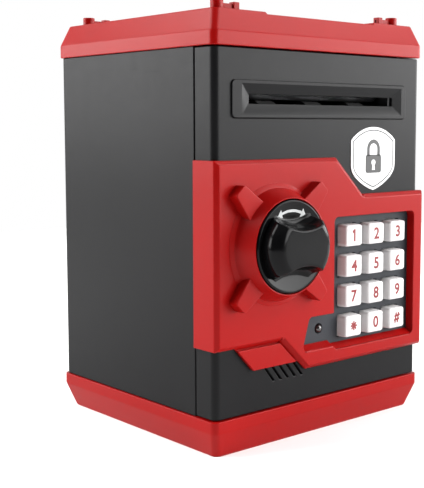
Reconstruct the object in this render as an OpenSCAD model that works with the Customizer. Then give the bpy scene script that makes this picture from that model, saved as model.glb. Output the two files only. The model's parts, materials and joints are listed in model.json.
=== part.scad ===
// Toy safe coin bank: a five-sided case with a red cap and base, and a full-front door that carries
// the combination keypad, the knob with its bolt, and the banknote feed.
// Origin: centre of the underside. +X is to the right, the door faces -Y, +Z is up. Millimetres.
// Inside the door, depths are written as "f", the distance in front of the centre plane (f = -y).

/* [Case] */
// Width over the cap and base
case_w = 129.5; // [120:0.5:170]
// Depth over the cap and base
case_d = 116.8; // [105:0.5:160]
// Height from the underside to the top of the cap, without the lugs
case_h = 184; // [184:1:230]
// How far the cap and base stand out past the dark walls
lip = 0.9; // [0.5:0.1:2]
// Radius of the upright corners
corner_r = 3; // [2:0.5:3.5]
// Thickness of the moulded walls
wall = 2.2; // [1.8:0.1:2.4]

/* [Cap] */
// Height of the cap
cap_h = 15; // [13:0.5:20]
// Height of the upright band at the cap's lower edge
cap_band = 5.7; // [4:0.1:7]
// How far the cap's slope runs in
cap_inset = 3.4; // [2:0.1:5]
// Height of the corner lugs
lug_h = 4; // [2:0.5:6]
// Width of the shallow channel across the cap
channel_w = 66; // [50:1:80]
// Depth of the shallow channel
channel_depth = 1; // [0.5:0.1:1.5]
// Length of the coin slot
coin_slot_l = 32; // [28:1:40]
// Width of the coin slot
coin_slot_w = 3.2; // [2.6:0.1:4]

/* [Base] */
// Height of the base
base_h = 16; // [15:0.5:20]
// Height of the upright band at the base's upper edge
base_band = 5; // [4:0.1:7]
// How far the base's slope runs in
base_inset = 3.7; // [2:0.1:5]
// Height of the compartment floor's underside above the underside of the safe
floor_z = 19.2; // [19:0.1:24]

/* [Door] */
// Depth of the door's rim
door_d = 12.2; // [10:0.1:12.4]
// Gap between the door and the case
seam = 0.6; // [0.5:0.1:1]
// Gap above and below the door
door_gap = 0.5; // [0.4:0.1:1]
// Radius of the hinge barrel
barrel_r = 3; // [2.8:0.1:3]
// Radius of the hinge pins
pin_r = 1.5; // [1.2:0.1:1.8]
// Depth of the cover on the back of the door, behind the rim
cover_d = 13.9; // [13.9:0.1:20]

/* [Red panel] */
// Thickness of the red panel over the door's front
panel_t = 2.9; // [2:0.1:4]
// Thickness of the red panel over the door's side
panel_side = 1.4; // [1:0.1:2]
// Width of the chamfer round the panel
panel_chamfer = 1.7; // [1:0.1:1.9]

/* [Keypad] */
// Width of a key
key_w = 11.1; // [9:0.1:12]
// Height of a key
key_h = 10; // [8:0.1:11]
// Spacing of the keys across
key_pitch_x = 15; // [14.6:0.1:15.4]
// Spacing of the keys up and down
key_pitch_z = 13.8; // [13.2:0.1:14]
// Travel of a key
key_travel = 1.2; // [0.8:0.1:1.5]
// How far a key stands out past the red panel
key_proud = 0.6; // [0.3:0.1:1.5]
// Middle of the keypad, across
keypad_x = 30.4; // [30:0.1:31]
// Middle of the keypad, up
keypad_z = 66.9; // [66:0.1:68]

/* [Knob] */
// Middle of the knob, across
knob_x = -32.5; // [-34:0.1:-32]
// Middle of the knob, up
knob_z = 87.2; // [86:0.1:88]
// Radius of the knob
knob_r = 19.5; // [18:0.1:20]
// Height of the red ring round the knob
ring_h = 9.6; // [8:0.1:12]
// Height of the knob's grip past the red panel
grip_h = 18.5; // [16:0.1:22]
// Turn of the knob in degrees
knob_turn = 90; // [60:5:90]

/* [Latch] */
// Module of the bolt's rack and its pinion
latch_module = 0.5; // [0.5:0.05:0.5]
// Teeth on the latch pinion
latch_teeth = 12; // [12:1:12]
// Height of the bolt
bolt_h = 7.4; // [6:0.1:9]
// Thickness of the bolt
bolt_t = 4; // [3:0.1:5]

/* [Banknote feed] */
// Height of the banknote slot's middle
slot_z = 147.9; // [146:0.1:149]
// Length of the banknote slot
slot_l = 89.7; // [80:0.1:89.9]
// Height of the banknote slot
slot_h = 3.8; // [3:0.1:5]
// Radius of the driven rubber tyres
tyre_r = 6; // [5:0.1:6]
// Radius of the idle roller
idler_r = 4; // [3:0.1:5]
// Gap between the tyres and the idle roller
nip = 0.4; // [0.3:0.1:0.6]
// Module of the feed gears
feed_module = 0.7; // [0.7:0.05:0.7]
// Teeth on the feed gear
feed_teeth = 24; // [20:1:24]
// Teeth on the motor pinion
motor_teeth = 10; // [10:1:10]

/* [Fits] */
// Radial clearance of a turning shaft
run = 0.06; // [0.02:0.01:0.1]
// Clearance round a sliding piece
slide_gap = 0.35; // [0.3:0.05:0.5]

/* [Hidden] */

$fn = 48;
e = 0.01;

// Case
half_w = case_w / 2;
half_d = case_d / 2;
body_hw = half_w - lip;
body_hd = half_d - lip;
cap_z = case_h - cap_h;
body_lo = base_h;
body_hi = cap_z;
in_hw = body_hw - wall;
lug_margin = 7.3;
lug_r = 2.7;
lug_arm = 11;

// Door: f is measured forwards from the centre plane
face_f = body_hd;
back_f = face_f - wall;
seam_f = face_f - door_d;
door_lo = body_lo + door_gap;
door_hi = body_hi - door_gap;
pivot_x = body_hw - barrel_r;
pivot_f = seam_f - 0.3;
hinge_relief = barrel_r + 0.8;
red_f = face_f + panel_t;
floor_f = red_f - 4.4;
cover_back_f = seam_f - cover_d;
cover_hw = half_w - 12.75;
cover_wall = 1.6;
flange_t = 1.6;
cover_screw_rest = 2.8;
screw_r = 1.4;
post_r = 2.5;

// Red panel: outline of its foot, clockwise from the top left, seen from the front
panel_hw = body_hw + panel_side;
panel_top = 123;
panel_mid = 106;
panel_low = 30.6;
panel_step = 45.4;
panel_line = [[-panel_hw, panel_top], [5, panel_top], [22.5, panel_mid], [panel_hw, panel_mid],
    [panel_hw, panel_low], [-13.5, panel_low], [-28.6, panel_step], [-panel_hw, panel_step]];
panel_inner_corners = [2, 6];
vent_line = [[-54.8, panel_step + 1], [-27, panel_step + 1], [-17.2, 34.8], [-44.2, 34.8]];

// Keypad
grid_w = 2 * key_pitch_x + key_w;
grid_h = 3 * key_pitch_z + key_h;
window_x0 = keypad_x - grid_w / 2 - 6.8;
window_x1 = keypad_x + grid_w / 2 + 6.9;
window_z0 = keypad_z - grid_h / 2 - 4.3;
window_z1 = keypad_z + grid_h / 2 + 3.9;
window_r = 2.4;
ledge = 2.3;
skirt = 1.3;
lamp_line = [[-12.3, 53.5], [window_x0 + 2, 53.5], [window_x0 + 2, 38.5], [-16.8, 38.5]];
lamp_pos = [-2.5, 46.7];
lamp_r = 1.9;
plate_back_f = back_f - 1.4;
flange_gap = 0.3;
key_flange_f = plate_back_f - flange_gap;
key_back_f = key_flange_f - 1;
dome_f = key_back_f - key_travel - 0.4;
mat_back_f = dome_f - 1.2;
board_t = 1.6;
board_back_f = mat_back_f - board_t;
board_gap = 0.5;
barrel_gap = 0.15;
key_names = [["star", "0", "hash"], ["7", "8", "9"], ["4", "5", "6"], ["1", "2", "3"]];

// Knob and latch
ring_foot_r = knob_r + 6.5;
ring_floor = 1;
ring_bore = knob_r + 0.4;
spindle_r = 3;
tail_r = 1.5;
pitch_r = latch_module * latch_teeth / 2;
bolt_throw = pitch_r * knob_turn * PI / 180;
bolt_back_f = cover_back_f + cover_wall + 4.7;
bolt_front_f = bolt_back_f + bolt_t;
rack_z = knob_z - pitch_r;
rack_root = 1.1 * latch_module;
bolt_top = rack_z - rack_root;
bolt_bottom = bolt_top - bolt_h;
lip_end = -in_hw + 4.2;
bolt_tip = lip_end + 1;
bolt_tail = knob_x + 18.5;
notch_x = knob_x - 4;
notch_w = 3;
guide_f = bolt_front_f + 0.5;
guide_t = 1;
plunger_travel = 2.8;
plunger_r = 2.5;
rod_r = 1.2;
solenoid_top = bolt_bottom - 6;
solenoid_h = 16;

// Banknote feed
nip_f = face_f - 12;
feed_z = slot_z - nip / 2 - tyre_r;
idler_z = slot_z + nip / 2 + idler_r;
shaft_r = 1.5;
cheek_x = 43.5;
cheek_t = 1.7;
gear_x = cheek_x + cheek_t + 0.8;
gear_w = 3.4;
motor_z = feed_z - feed_module * (feed_teeth + motor_teeth) / 2;
frame_h = 15.5;
frame_hw = 54;

// Battery bay
cell_r = 7.2;
cell_l = 50;
cell_pitch = 14.9;
bay_hx = cell_l / 2 + 3.4;
bay_hy = cell_pitch * 1.5 + 0.3;
bay_wall = 1.4;
plate_t = 2.4;
cell_z = plate_t + 0.3 + cell_r;
tab_x = bay_hx + bay_wall + 3.4;
post_x = half_w - 14.75;
post_y = half_d - 14.4;
front_post_y = -post_y + 6;
pad_r = 6;

// ---- helpers ----

// Flat shape drawn in x and z, given a thickness t forwards from depth f
module fwd(f, t) {
    translate([0, -f, 0]) rotate([90, 0, 0]) linear_extrude(t) children();
}

// Round bar that points forwards
module rod(x, z, f, t, r) {
    translate([x, -f, z]) rotate([90, 0, 0]) cylinder(h = t, r = r);
}

// Round bar along x
module bar_x(x, f, z, l, r) {
    translate([x, -f, z]) rotate([0, 90, 0]) cylinder(h = l, r = r);
}

// Flat box between two x and two z values
module span(x0, x1, z0, z1) {
    translate([x0, z0]) square([x1 - x0, z1 - z0]);
}

// Box between two corners, with the depths given as f
module block(x0, x1, f0, f1, z0, z1) {
    translate([x0, -f1, z0]) cube([x1 - x0, f1 - f0, z1 - z0]);
}

// Rectangle with round corners, centred
module round_rect(hx, hy, r) {
    for (sx = [-1, 1], sy = [-1, 1])
        translate([sx * (hx - r), sy * (hy - r)]) circle(r);
    square([2 * (hx - r), 2 * hy], center = true);
    square([2 * hx, 2 * (hy - r)], center = true);
}

// Block with round upright corners
module column(hx, hy, r, z0, z1) {
    translate([0, 0, z0]) linear_extrude(z1 - z0) round_rect(hx, hy, r);
}

// Block whose lower and upper outlines differ
module taper(hx0, hy0, hx1, hy1, r, z0, z1) {
    hull() {
        column(hx0, hy0, r, z0, z0 + e);
        column(hx1, hy1, r, z1 - e, z1);
    }
}

// Wedge that takes the chamfer off one edge of the red panel
module edge_cut(p, q, c, before, after) {
    run_x = q[0] - p[0];
    run_z = q[1] - p[1];
    length = norm([run_x, run_z]);
    translate([p[0], -red_f, p[1]])
        rotate([0, -atan2(run_z, run_x), 0])
            translate([-before, 0, 0])
                rotate([90, 0, 90])
                    linear_extrude(length + before + after)
                        polygon([[-1, -c - 1], [c + 1, 1], [-1, 1]]);
}

// Involute tooth form: a point on the flank at roll angle t, in degrees, on base radius rb
function involute(rb, t) = [rb * (cos(t) + t * PI / 180 * sin(t)), rb * (sin(t) - t * PI / 180 * cos(t))];
function turned(p, a) = [p[0] * cos(a) - p[1] * sin(a), p[0] * sin(a) + p[1] * cos(a)];
pressure = 25;
addendum = 0.8;
backlash = 0.12;

// Gear outline with involute flanks: one tooth is centred on the first axis
module gear_shape(m, teeth) {
    rp = m * teeth / 2;
    rb = rp * cos(pressure);
    ro = rp + addendum * m;
    rr = rp - 1.1 * m;
    steps = 5;
    start = sqrt(max(0, pow(max(rr, rb) / rb, 2) - 1)) * 180 / PI;
    stop = sqrt(pow(ro / rb, 2) - 1) * 180 / PI;
    at_pitch = tan(pressure) * 180 / PI - pressure;
    half_tooth = 90 / teeth - backlash / (2 * rp) * 180 / PI + at_pitch;
    flank = [for (i = [0:steps]) turned(involute(rb, start + (stop - start) * i / steps), -half_tooth)];
    mirrored = [for (i = [steps:-1:0]) [flank[i][0], -flank[i][1]]];
    root = [rr * cos(half_tooth), rr * sin(half_tooth)];
    tooth = concat([[root[0], -root[1]]], flank, mirrored, [root]);
    polygon([for (k = [0:teeth - 1], p = tooth) turned(p, 360 * k / teeth)]);
}

// ---- case ----

module body_shell() color([0.2, 0.2, 0.21]) {
    difference() {
        column(body_hw, body_hd, corner_r, body_lo, body_hi);
        translate([0, 0, floor_z + wall])
            linear_extrude(body_hi - 2 * wall - floor_z)
                square([2 * in_hw, 2 * (body_hd - wall)], center = true);
        // Space under the floor
        translate([0, 0, body_lo - 1])
            linear_extrude(floor_z - body_lo + 1) square([2 * in_hw, 2 * (body_hd - wall)], center = true);
        // Open front
        block(-half_w, half_w, seam_f - seam, half_d, body_lo - 1, body_hi + 1);
        // Relief for the hinge barrel
        translate([pivot_x, -pivot_f, body_lo - 1]) cylinder(h = body_hi - body_lo + 2, r = hinge_relief);
        block(pivot_x, half_w, pivot_f - hinge_relief, half_d, body_lo - 1, body_hi + 1);
        // Coin hole through the ceiling
        translate([0, 0, body_hi - wall - 1])
            linear_extrude(wall + 2) square([coin_slot_l + 6, coin_slot_w + 6], center = true);
        screw_places() translate([0, 0, body_hi - wall - 1]) cylinder(h = wall + 2, r = screw_r + 0.2);
    }
    screw_places() difference() {
        translate([0, 0, body_lo]) cylinder(h = floor_z - body_lo + e, r = post_r + 1.5);
        translate([0, 0, body_lo - 1]) cylinder(h = floor_z - body_lo + 1, r = screw_r);
    }
}

// The four places where screws join the case from below and above
module screw_places() {
    for (sx = [-1, 1], y = [front_post_y, post_y])
        translate([sx * post_x, y, 0]) children();
}

module base_tray() color([0.78, 0.12, 0.11]) {
    inner = wall + 0.1;
    difference() {
        union() {
            taper(half_w - base_inset, half_d - base_inset, half_w, half_d, corner_r, 0,
                base_h - base_band);
            column(half_w, half_d, corner_r, base_h - base_band - e, base_h);
        }
        difference() {
            union() {
                taper(half_w - base_inset - inner, half_d - base_inset - inner, half_w - inner,
                    half_d - inner, 1.5, -e, base_h - base_band);
                column(half_w - inner, half_d - inner, 1.5, base_h - base_band - 2 * e, base_h - wall);
            }
            screw_places() translate([0, 0, plate_t]) cylinder(h = base_h, r = post_r + 1.5);
            translate([pivot_x, -pivot_f, base_h - 9]) cylinder(h = 9, r = pin_r + 1.8);
        }
        // Opening for the battery box
        translate([0, 0, base_h - wall - 1])
            linear_extrude(wall + 2) square([2 * bay_hx + 8, 2 * bay_hy + 8], center = true);
        screw_places() cylinder(h = base_h + 1, r = screw_r + 0.2);
        translate([pivot_x, -pivot_f, base_h - 7]) cylinder(h = 8, r = pin_r);
    }
}

module bottom_plate() color([0.72, 0.11, 0.1]) {
    gap = 0.2;
    hx = half_w - base_inset - wall - 0.1 - gap;
    hy = half_d - base_inset - wall - 0.1 - gap;
    difference() {
        column(hx, hy, 1.5, 0, plate_t);
        translate([0, 0, -1]) linear_extrude(plate_t + 2) battery_door_shape(0);
        screw_places() {
            translate([0, 0, -1]) cylinder(h = 2.2, r = 2.9);
            translate([0, 0, -1]) cylinder(h = plate_t + 2, r = screw_r + 0.2);
        }
        pad_places() translate([0, 0, -1]) cylinder(h = 2, r = pad_r);
    }
}

// Battery cover outline: the bay, and a tab for the screw
module battery_door_shape(gap) {
    square([2 * bay_hx + bay_wall - 2 * gap, 2 * bay_hy + bay_wall - 2 * gap], center = true);
    translate([bay_hx, 0]) square([2 * tab_x - 2 * bay_hx + 7 - 2 * gap, 12 - 2 * gap], center = true);
}

module pad_places() {
    for (sx = [-1, 1], sy = [-1, 1])
        translate([sx * (post_x - 14), sy * (post_y + 1), 0]) children();
}

module base_pads() color([0.08, 0.08, 0.08]) {
    pad_places() cylinder(h = 1, r = pad_r);
}

module battery_cover() color([0.75, 0.12, 0.11]) {
    difference() {
        linear_extrude(plate_t) battery_door_shape(0.25);
        // Screw hole and finger ribs
        translate([tab_x, 0, -1]) cylinder(h = plate_t + 2, r = screw_r);
        translate([tab_x, 0, -1]) cylinder(h = 1.8, r = 2.7);
        for (i = [-3:3])
            translate([-bay_hx + 10 + 2 * i, 0, -1]) linear_extrude(1.5) square([0.9, 16], center = true);
    }
}

module battery_cover_screw() color([0.7, 0.7, 0.72]) {
    translate([tab_x, 0, 0.1]) {
        difference() {
            cylinder(h = 0.7, r = 2.5);
            cross_slot(0.5);
        }
        translate([0, 0, 0.6]) cylinder(h = plate_t + 2, r = screw_r - 0.1);
    }
}

// Cross recess in a screw head that faces down
module cross_slot(depth) {
    for (a = [0, 90])
        rotate(a) translate([0, 0, depth / 2 - e]) cube([2.6, 0.6, depth], center = true);
}

module battery_box() color([0.1, 0.1, 0.1]) {
    roof = floor_z - 0.2;
    difference() {
        translate([0, 0, plate_t]) linear_extrude(roof - plate_t)
            square([2 * (bay_hx + bay_wall), 2 * (bay_hy + bay_wall)], center = true);
        translate([0, 0, plate_t - 1]) linear_extrude(roof - bay_wall - plate_t + 1)
            square([2 * bay_hx, 2 * bay_hy], center = true);
    }
    // Boss for the cover's screw
    difference() {
        translate([bay_hx + bay_wall / 2, -3.5, plate_t]) cube([tab_x - bay_hx + 2.5, 7, 5]);
        translate([tab_x, 0, plate_t - 1]) cylinder(h = 5, r = screw_r);
    }
}

module batteries() color([0.15, 0.35, 0.2]) {
    for (i = [-1:1]) translate([0, i * cell_pitch, cell_z]) rotate([0, i == 0 ? -90 : 90, 0]) {
        translate([0, 0, -cell_l / 2]) cylinder(h = cell_l - 1, r = cell_r - 0.1);
        translate([0, 0, cell_l / 2 - 1 - e]) cylinder(h = 1, r = 2.7);
    }
}

module battery_contacts() color([0.8, 0.8, 0.78]) {
    t = 0.5;
    plate = 10;
    button = 4;
    reach = bay_hx - t - cell_l / 2;
    for (i = [-1:1], s = [-1, 1])
        translate([s * (bay_hx - t / 2), i * cell_pitch, cell_z]) cube([t, plate, plate], center = true);
    for (i = [-1:1]) {
        s = i == 0 ? 1 : -1;
        // Conical spring on the flat end
        translate([s * (bay_hx - t), i * cell_pitch, cell_z]) rotate([0, -90 * s, 0]) coil_spring(reach);
        // Raised button on the tip's end
        translate([-s * (bay_hx - t - reach / 2), i * cell_pitch, cell_z])
            cube([reach - 0.04, button, button], center = true);
    }
}

// Ring of points round one place on a wire: t is the wire's direction there, out points off the coil's axis
function wire_ring(p, t, out, r, sides) = let (side = cross(t, out))
    [for (j = [0:sides - 1]) p + r * (cos(360 * j / sides) * out + sin(360 * j / sides) * side)];

// Conical coil on a short straight leg, swept along its own path from the plate at z = 0
module coil_spring(height) {
    wire = 0.35;
    wide = 4;
    narrow = 2.2;
    turns = 3;
    leg = 0.9;
    per_turn = 14;
    sides = 6;
    steps = turns * per_turn;
    rise = height - leg - 2 * wire;
    coil = [for (k = [1:steps])
        let (u = k / steps, a = 360 * turns * u, q = wide + (narrow - wide) * u, out = [cos(a), sin(a), 0])
        wire_ring(q * out + [0, 0, leg + rise * u], [-sin(a), cos(a), 0], out, wire, sides)];
    rings = concat(
        [wire_ring([wide, 0, -0.25], [0, 0, 1], [1, 0, 0], wire, sides),
         wire_ring([wide, 0, leg - 0.1], [0, 0.7, 0.7], [1, 0, 0], wire, sides)],
        coil);
    last = len(rings) - 1;
    walls = [for (i = [0:last - 1], j = [0:sides - 1])
        let (a = i * sides + j, b = i * sides + (j + 1) % sides)
        each [[a, a + sides, b + sides], [a, b + sides, b]]];
    foot = [for (j = [0:sides - 1]) j];
    tip = [for (j = [sides - 1:-1:0]) last * sides + j];
    polyhedron([for (ring = rings, p = ring) p], concat(walls, [foot, tip]));
}

module top_cap() color([0.8, 0.16, 0.15]) {
    inner = wall + 0.1;
    kink_z = cap_z + cap_band;
    difference() {
        union() {
            column(half_w, half_d, corner_r, cap_z, kink_z + e);
            taper(half_w, half_d, half_w - cap_inset, half_d - cap_inset, corner_r, kink_z, case_h);
            for (sx = [-1, 1], sy = [-1, 1]) scale([sx, sy, 1]) lug();
        }
        difference() {
            union() {
                column(half_w - inner, half_d - inner, 1.5, cap_z + wall, kink_z + 2 * e);
                taper(half_w - inner, half_d - inner, half_w - inner - cap_inset,
                    half_d - inner - cap_inset, 1.5, kink_z + e, case_h - 3);
            }
            screw_places() translate([0, 0, cap_z]) cylinder(h = cap_h, r = post_r + 1.5);
            translate([pivot_x, -pivot_f, cap_z]) cylinder(h = 10, r = pin_r + 1.8);
            // Chute under the coin slot
            translate([0, 0, cap_z]) linear_extrude(cap_h)
                square([coin_slot_l + 5, coin_slot_w + 5], center = true);
        }
        translate([0, 0, cap_z - 1]) linear_extrude(cap_h - 2.4)
            square([coin_slot_l + 2, coin_slot_w + 2], center = true);
        translate([0, 0, cap_z]) linear_extrude(cap_h + 1)
            square([coin_slot_l, coin_slot_w], center = true);
        // Shallow channel from front to back
        translate([0, 0, case_h - channel_depth + 1])
            cube([channel_w, case_d + 2, 2], center = true);
        screw_places() translate([0, 0, cap_z - 1]) cylinder(h = 11, r = screw_r);
        translate([pivot_x, -pivot_f, cap_z - 1]) cylinder(h = 8, r = pin_r);
    }
}

// Corner lug: a round boss, a thin arm and a small block
module lug() {
    x = half_w - cap_inset - lug_margin;
    y = half_d - cap_inset - lug_margin;
    block_w = 3.2;
    translate([x, y, case_h - e]) cylinder(h = lug_h + e, r = lug_r);
    translate([x - lug_arm, y - 0.8, case_h - e]) cube([lug_arm, 1.6, lug_h - 1.2]);
    translate([x - lug_arm, y - block_w / 2, case_h - e]) cube([block_w, block_w, lug_h - 0.4]);
}

module hinge_pins() color([0.75, 0.75, 0.76]) {
    translate([pivot_x, -pivot_f, 0]) {
        translate([0, 0, base_h - 7]) cylinder(h = 15, r = pin_r);
        translate([0, 0, cap_z - 8]) cylinder(h = 15, r = pin_r);
    }
}

module case_screws() color([0.7, 0.7, 0.72]) {
    screw_places() {
        difference() {
            translate([0, 0, 0.3]) cylinder(h = 0.9, r = 2.7);
            translate([0, 0, 0.3]) cross_slot(0.5);
        }
        translate([0, 0, 1]) cylinder(h = floor_z - 1.5, r = screw_r - 0.05);
    }
}

module cap_screws() color([0.7, 0.7, 0.72]) {
    screw_places() {
        difference() {
            translate([0, 0, cap_z - wall - 1.6]) cylinder(h = 1.6, r = 2.7);
            translate([0, 0, cap_z - wall - 1.6]) cross_slot(0.6);
        }
        translate([0, 0, cap_z - wall - 0.5]) cylinder(h = 11, r = screw_r - 0.05);
    }
}

// Catch on the left wall: the thrown bolt sits behind its front lip
module strike_plate() color([0.3, 0.3, 0.32]) {
    gap = slide_gap + 0.05;
    difference() {
        block(-in_hw, lip_end, bolt_back_f - gap - 2, seam_f - seam, bolt_bottom - gap - 3, bolt_top + 4);
        block(-in_hw - 1, lip_end + 1, bolt_back_f - gap, bolt_front_f + gap, bolt_bottom - gap,
            bolt_top + 1.5);
    }
}

// ---- door ----

// Dark front of the door: a shallow tray with the hinge barrel down its right-hand edge
module front_shell() color([0.22, 0.22, 0.23]) {
    h = door_hi - door_lo;
    difference() {
        union() {
            difference() {
                column(body_hw, body_hd, corner_r, door_lo, door_hi);
                translate([0, 0, door_lo + wall])
                    linear_extrude(h - 2 * wall) square([2 * in_hw, 2 * back_f], center = true);
                block(-half_w, half_w, -half_d, seam_f, door_lo - 1, door_hi + 1);
            }
            translate([pivot_x, -pivot_f, door_lo]) cylinder(h = h, r = barrel_r);
            // Raised frame round the banknote slot
            fwd(face_f - e, 0.8 + e) translate([-1, slot_z - 0.1]) round_rect(frame_hw, frame_h / 2, 2);
            // Bearing for the knob's spindle
            rod(knob_x, knob_z, guide_f + guide_t + 4, back_f - guide_f - guide_t - 4 + e, spindle_r + 3);
            guide_posts(guide_f + guide_t, back_f + e, post_r);
            cover_posts(seam_f + flange_t, back_f + e, post_r);
        }
        // Banknote slot, widened towards the front
        hull() {
            fwd(face_f + 0.8, e) span(-slot_l / 2 - 4.9, slot_l / 2 + 4.9, slot_z - 6.3, slot_z + 6.3);
            fwd(face_f - 1, e) span(-slot_l / 2, slot_l / 2, slot_z - slot_h / 2, slot_z + slot_h / 2);
        }
        fwd(back_f - 1, 3.5) span(-slot_l / 2, slot_l / 2, slot_z - slot_h / 2, slot_z + slot_h / 2);
        // Opening behind the keypad and the lamp window
        fwd(back_f - 1, wall + 2) keypad_shape(skirt + 0.15);
        rod(knob_x, knob_z, guide_f, face_f - guide_f + 1, spindle_r + run);
        // Sound slots
        for (i = [0:4]) fwd(back_f - 1, wall + 2) sound_slot(-36.5 + 4.2 * i);
        translate([pivot_x, -pivot_f, door_lo - 1]) cylinder(h = 10, r = pin_r + run);
        translate([pivot_x, -pivot_f, door_hi - 9]) cylinder(h = 10, r = pin_r + run);
        guide_posts(guide_f + guide_t - 1, back_f - 1, 1);
        cover_posts(seam_f, back_f - 1, 1);
    }
}

// Slanted sound slot below the red panel
module sound_slot(x) {
    polygon([[x - 0.6, 34.9], [x + 0.6, 34.9], [x + 6.1, 28], [x + 4.9, 28]]);
}

module guide_posts(f0, f1, r) {
    for (x = [knob_x - 15, knob_x + 14.5], z = [knob_z - 17, knob_z + 7]) rod(x, z, f0, f1 - f0, r);
}

module cover_posts(f0, f1, r) {
    for (sx = [-1, 1], z = [24, 104, 160]) rod(sx * (cover_hw + 3.3), z, f0, f1 - f0, r);
}

// Outline of the keypad opening and the lamp window, grown by a margin
module keypad_shape(margin) {
    offset(delta = margin) {
        span(window_x0, window_x1, window_z0, window_z1);
        polygon(lamp_line);
    }
}

// The same outline with its outer corners rounded
module keypad_window() {
    offset(r = window_r) keypad_shape(-window_r);
}

// Red panel over the door's front, which wraps round its sides
module door_panel() color([0.82, 0.18, 0.16]) {
    n = len(panel_line);
    wrap_end = pivot_f + 5.6;
    difference() {
        union() {
            fwd(back_f, red_f - back_f) polygon(panel_line);
            // Side wrap on the free edge
            block(-panel_hw, -body_hw + e, seam_f, red_f, panel_step, panel_top);
            block(body_hw - e, panel_hw, wrap_end, red_f, panel_low, panel_mid);
            fwd(back_f, face_f + panel_t - 1 - back_f) polygon(vent_line);
        }
        // The dark front fills everything behind the panel
        column(body_hw, body_hd, corner_r, door_lo - 20, door_hi + 20);
        for (i = [0:n - 1]) {
            p = panel_line[i];
            q = panel_line[(i + 1) % n];
            concave_p = len(search(i, panel_inner_corners)) > 0;
            concave_q = len(search((i + 1) % n, panel_inner_corners)) > 0;
            edge_cut(p, q, panel_chamfer, concave_p ? 0 : 3, concave_q ? 0 : 3);
        }
        keypad_cut();
        rod(knob_x, knob_z, face_f - 1, panel_t + 2, spindle_r + 0.5);
    }
    // Skirt round the keypad opening, down to the keypad plate
    difference() {
        fwd(floor_f, face_f - floor_f + e) keypad_shape(skirt);
        keypad_cut();
    }
}

// Keypad opening: upright walls with round corners, and a sloped ledge along the bottom
module keypad_cut() {
    intersection() {
        fwd(floor_f - 1, panel_t + 10) keypad_window();
        union() {
            fwd(floor_f - 1, panel_t + 10) {
                span(window_x0, window_x1, window_z0 + ledge, window_z1);
                polygon([lamp_line[0], lamp_line[1], lamp_line[2] + [0, ledge], lamp_line[3] + [0, ledge]]);
            }
            sloped_ledge(window_x0, window_x1, window_z0);
            sloped_ledge(lamp_line[3][0] + 0.6, window_x0 + 1, lamp_line[3][1]);
        }
    }
}

// Wedge above a ledge that falls from the keypad's floor to the panel's front
module sloped_ledge(x0, x1, z) {
    front = -red_f - 1;
    fall = ledge / (red_f - floor_f);
    translate([x0, 0, z]) rotate([90, 0, 90]) linear_extrude(x1 - x0)
        polygon([[front, -fall], [-floor_f, ledge], [-floor_f, ledge + 2], [front, ledge + 2]]);
}

// Fixed red ring round the knob, with four arms
module knob_ring() color([0.8, 0.17, 0.15]) {
    arm_h = 5;
    translate([knob_x, -red_f, knob_z]) rotate([90, 0, 0]) {
        difference() {
            union() {
                cylinder(h = ring_floor, r1 = ring_foot_r, r2 = ring_foot_r - 2);
                translate([0, 0, ring_floor - e])
                    cylinder(h = ring_h - ring_floor, r1 = ring_foot_r - 2, r2 = ring_bore + 0.6);
                for (a = [45:90:315]) rotate(a) linear_extrude(arm_h)
                    polygon([[15, -5.5], [knob_r + 14.5, -3.1], [knob_r + 14.5, 3.1], [15, 5.5]]);
            }
            translate([0, 0, ring_floor]) cylinder(h = ring_h + 1, r = ring_bore);
            translate([0, 0, -1]) cylinder(h = 4, r = spindle_r + 0.5);
        }
    }
}

// Turning knob: a disc with a waisted grip across it
module knob() color([0.04, 0.04, 0.045]) {
    rest = ring_floor + 0.6;
    disc_h = ring_h + 0.4;
    translate([knob_x, -red_f, knob_z]) rotate([90, 0, 0]) difference() {
        union() {
            translate([0, 0, rest]) cylinder(h = disc_h - rest - 0.6, r = knob_r);
            translate([0, 0, disc_h - 0.6 - e]) cylinder(h = 0.6 + e, r1 = knob_r, r2 = knob_r - 0.6);
            difference() {
                intersection() {
                    translate([0, 0, rest]) cylinder(h = grip_h - rest, r = knob_r - 2.7);
                    translate([0, 0, grip_h / 2]) cube([2 * knob_r, 24, grip_h], center = true);
                }
                for (s = [-1, 1]) translate([0, s * (24 + 7.4), disc_h - 1]) cylinder(h = grip_h, r = 24);
            }
        }
        translate([0, 0, rest - 1]) cylinder(h = 7, r = spindle_r);
    }
}

module knob_spindle() color([0.72, 0.72, 0.74]) {
    tail_f = cover_back_f + cover_wall + 2.5;
    shoulder_f = guide_f + guide_t + 0.5;
    top_f = red_f + ring_floor + 6.6;
    rod(knob_x, knob_z, shoulder_f, top_f - shoulder_f, spindle_r);
    rod(knob_x, knob_z, tail_f, shoulder_f - tail_f + e, tail_r);
}

module latch_pinion() color([0.85, 0.85, 0.82]) {
    translate([knob_x, -bolt_back_f, knob_z]) rotate([90, 0, 0]) difference() {
        linear_extrude(bolt_t) rotate(-90) gear_shape(latch_module, latch_teeth);
        translate([0, 0, -1]) cylinder(h = bolt_t + 2, r = tail_r);
    }
}

// Sliding bolt: rack teeth on top, two notches for the solenoid below
module latch_bolt() color([0.72, 0.72, 0.74]) {
    pitch = PI * latch_module;
    half_low = pitch / 4 - backlash / 2 + rack_root * tan(pressure);
    half_top = pitch / 4 - backlash / 2 - addendum * latch_module * tan(pressure);
    tip_z = rack_z + addendum * latch_module;
    tooth = [[-half_low, bolt_top], [-half_top, tip_z], [half_top, tip_z], [half_low, bolt_top]];
    fwd(bolt_back_f, bolt_t) difference() {
        polygon(concat([[bolt_tip, bolt_bottom], [bolt_tip, bolt_top]],
            [for (i = [-3:5], p = tooth) p + [knob_x + (i + 0.5) * pitch, 0]],
            [[bolt_tail, bolt_top], [bolt_tail, bolt_bottom]]));
        for (x = [notch_x, notch_x + bolt_throw])
            span(x - notch_w / 2, x + notch_w / 2, bolt_bottom - 1, bolt_bottom + plunger_travel + 0.4);
    }
}

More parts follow.
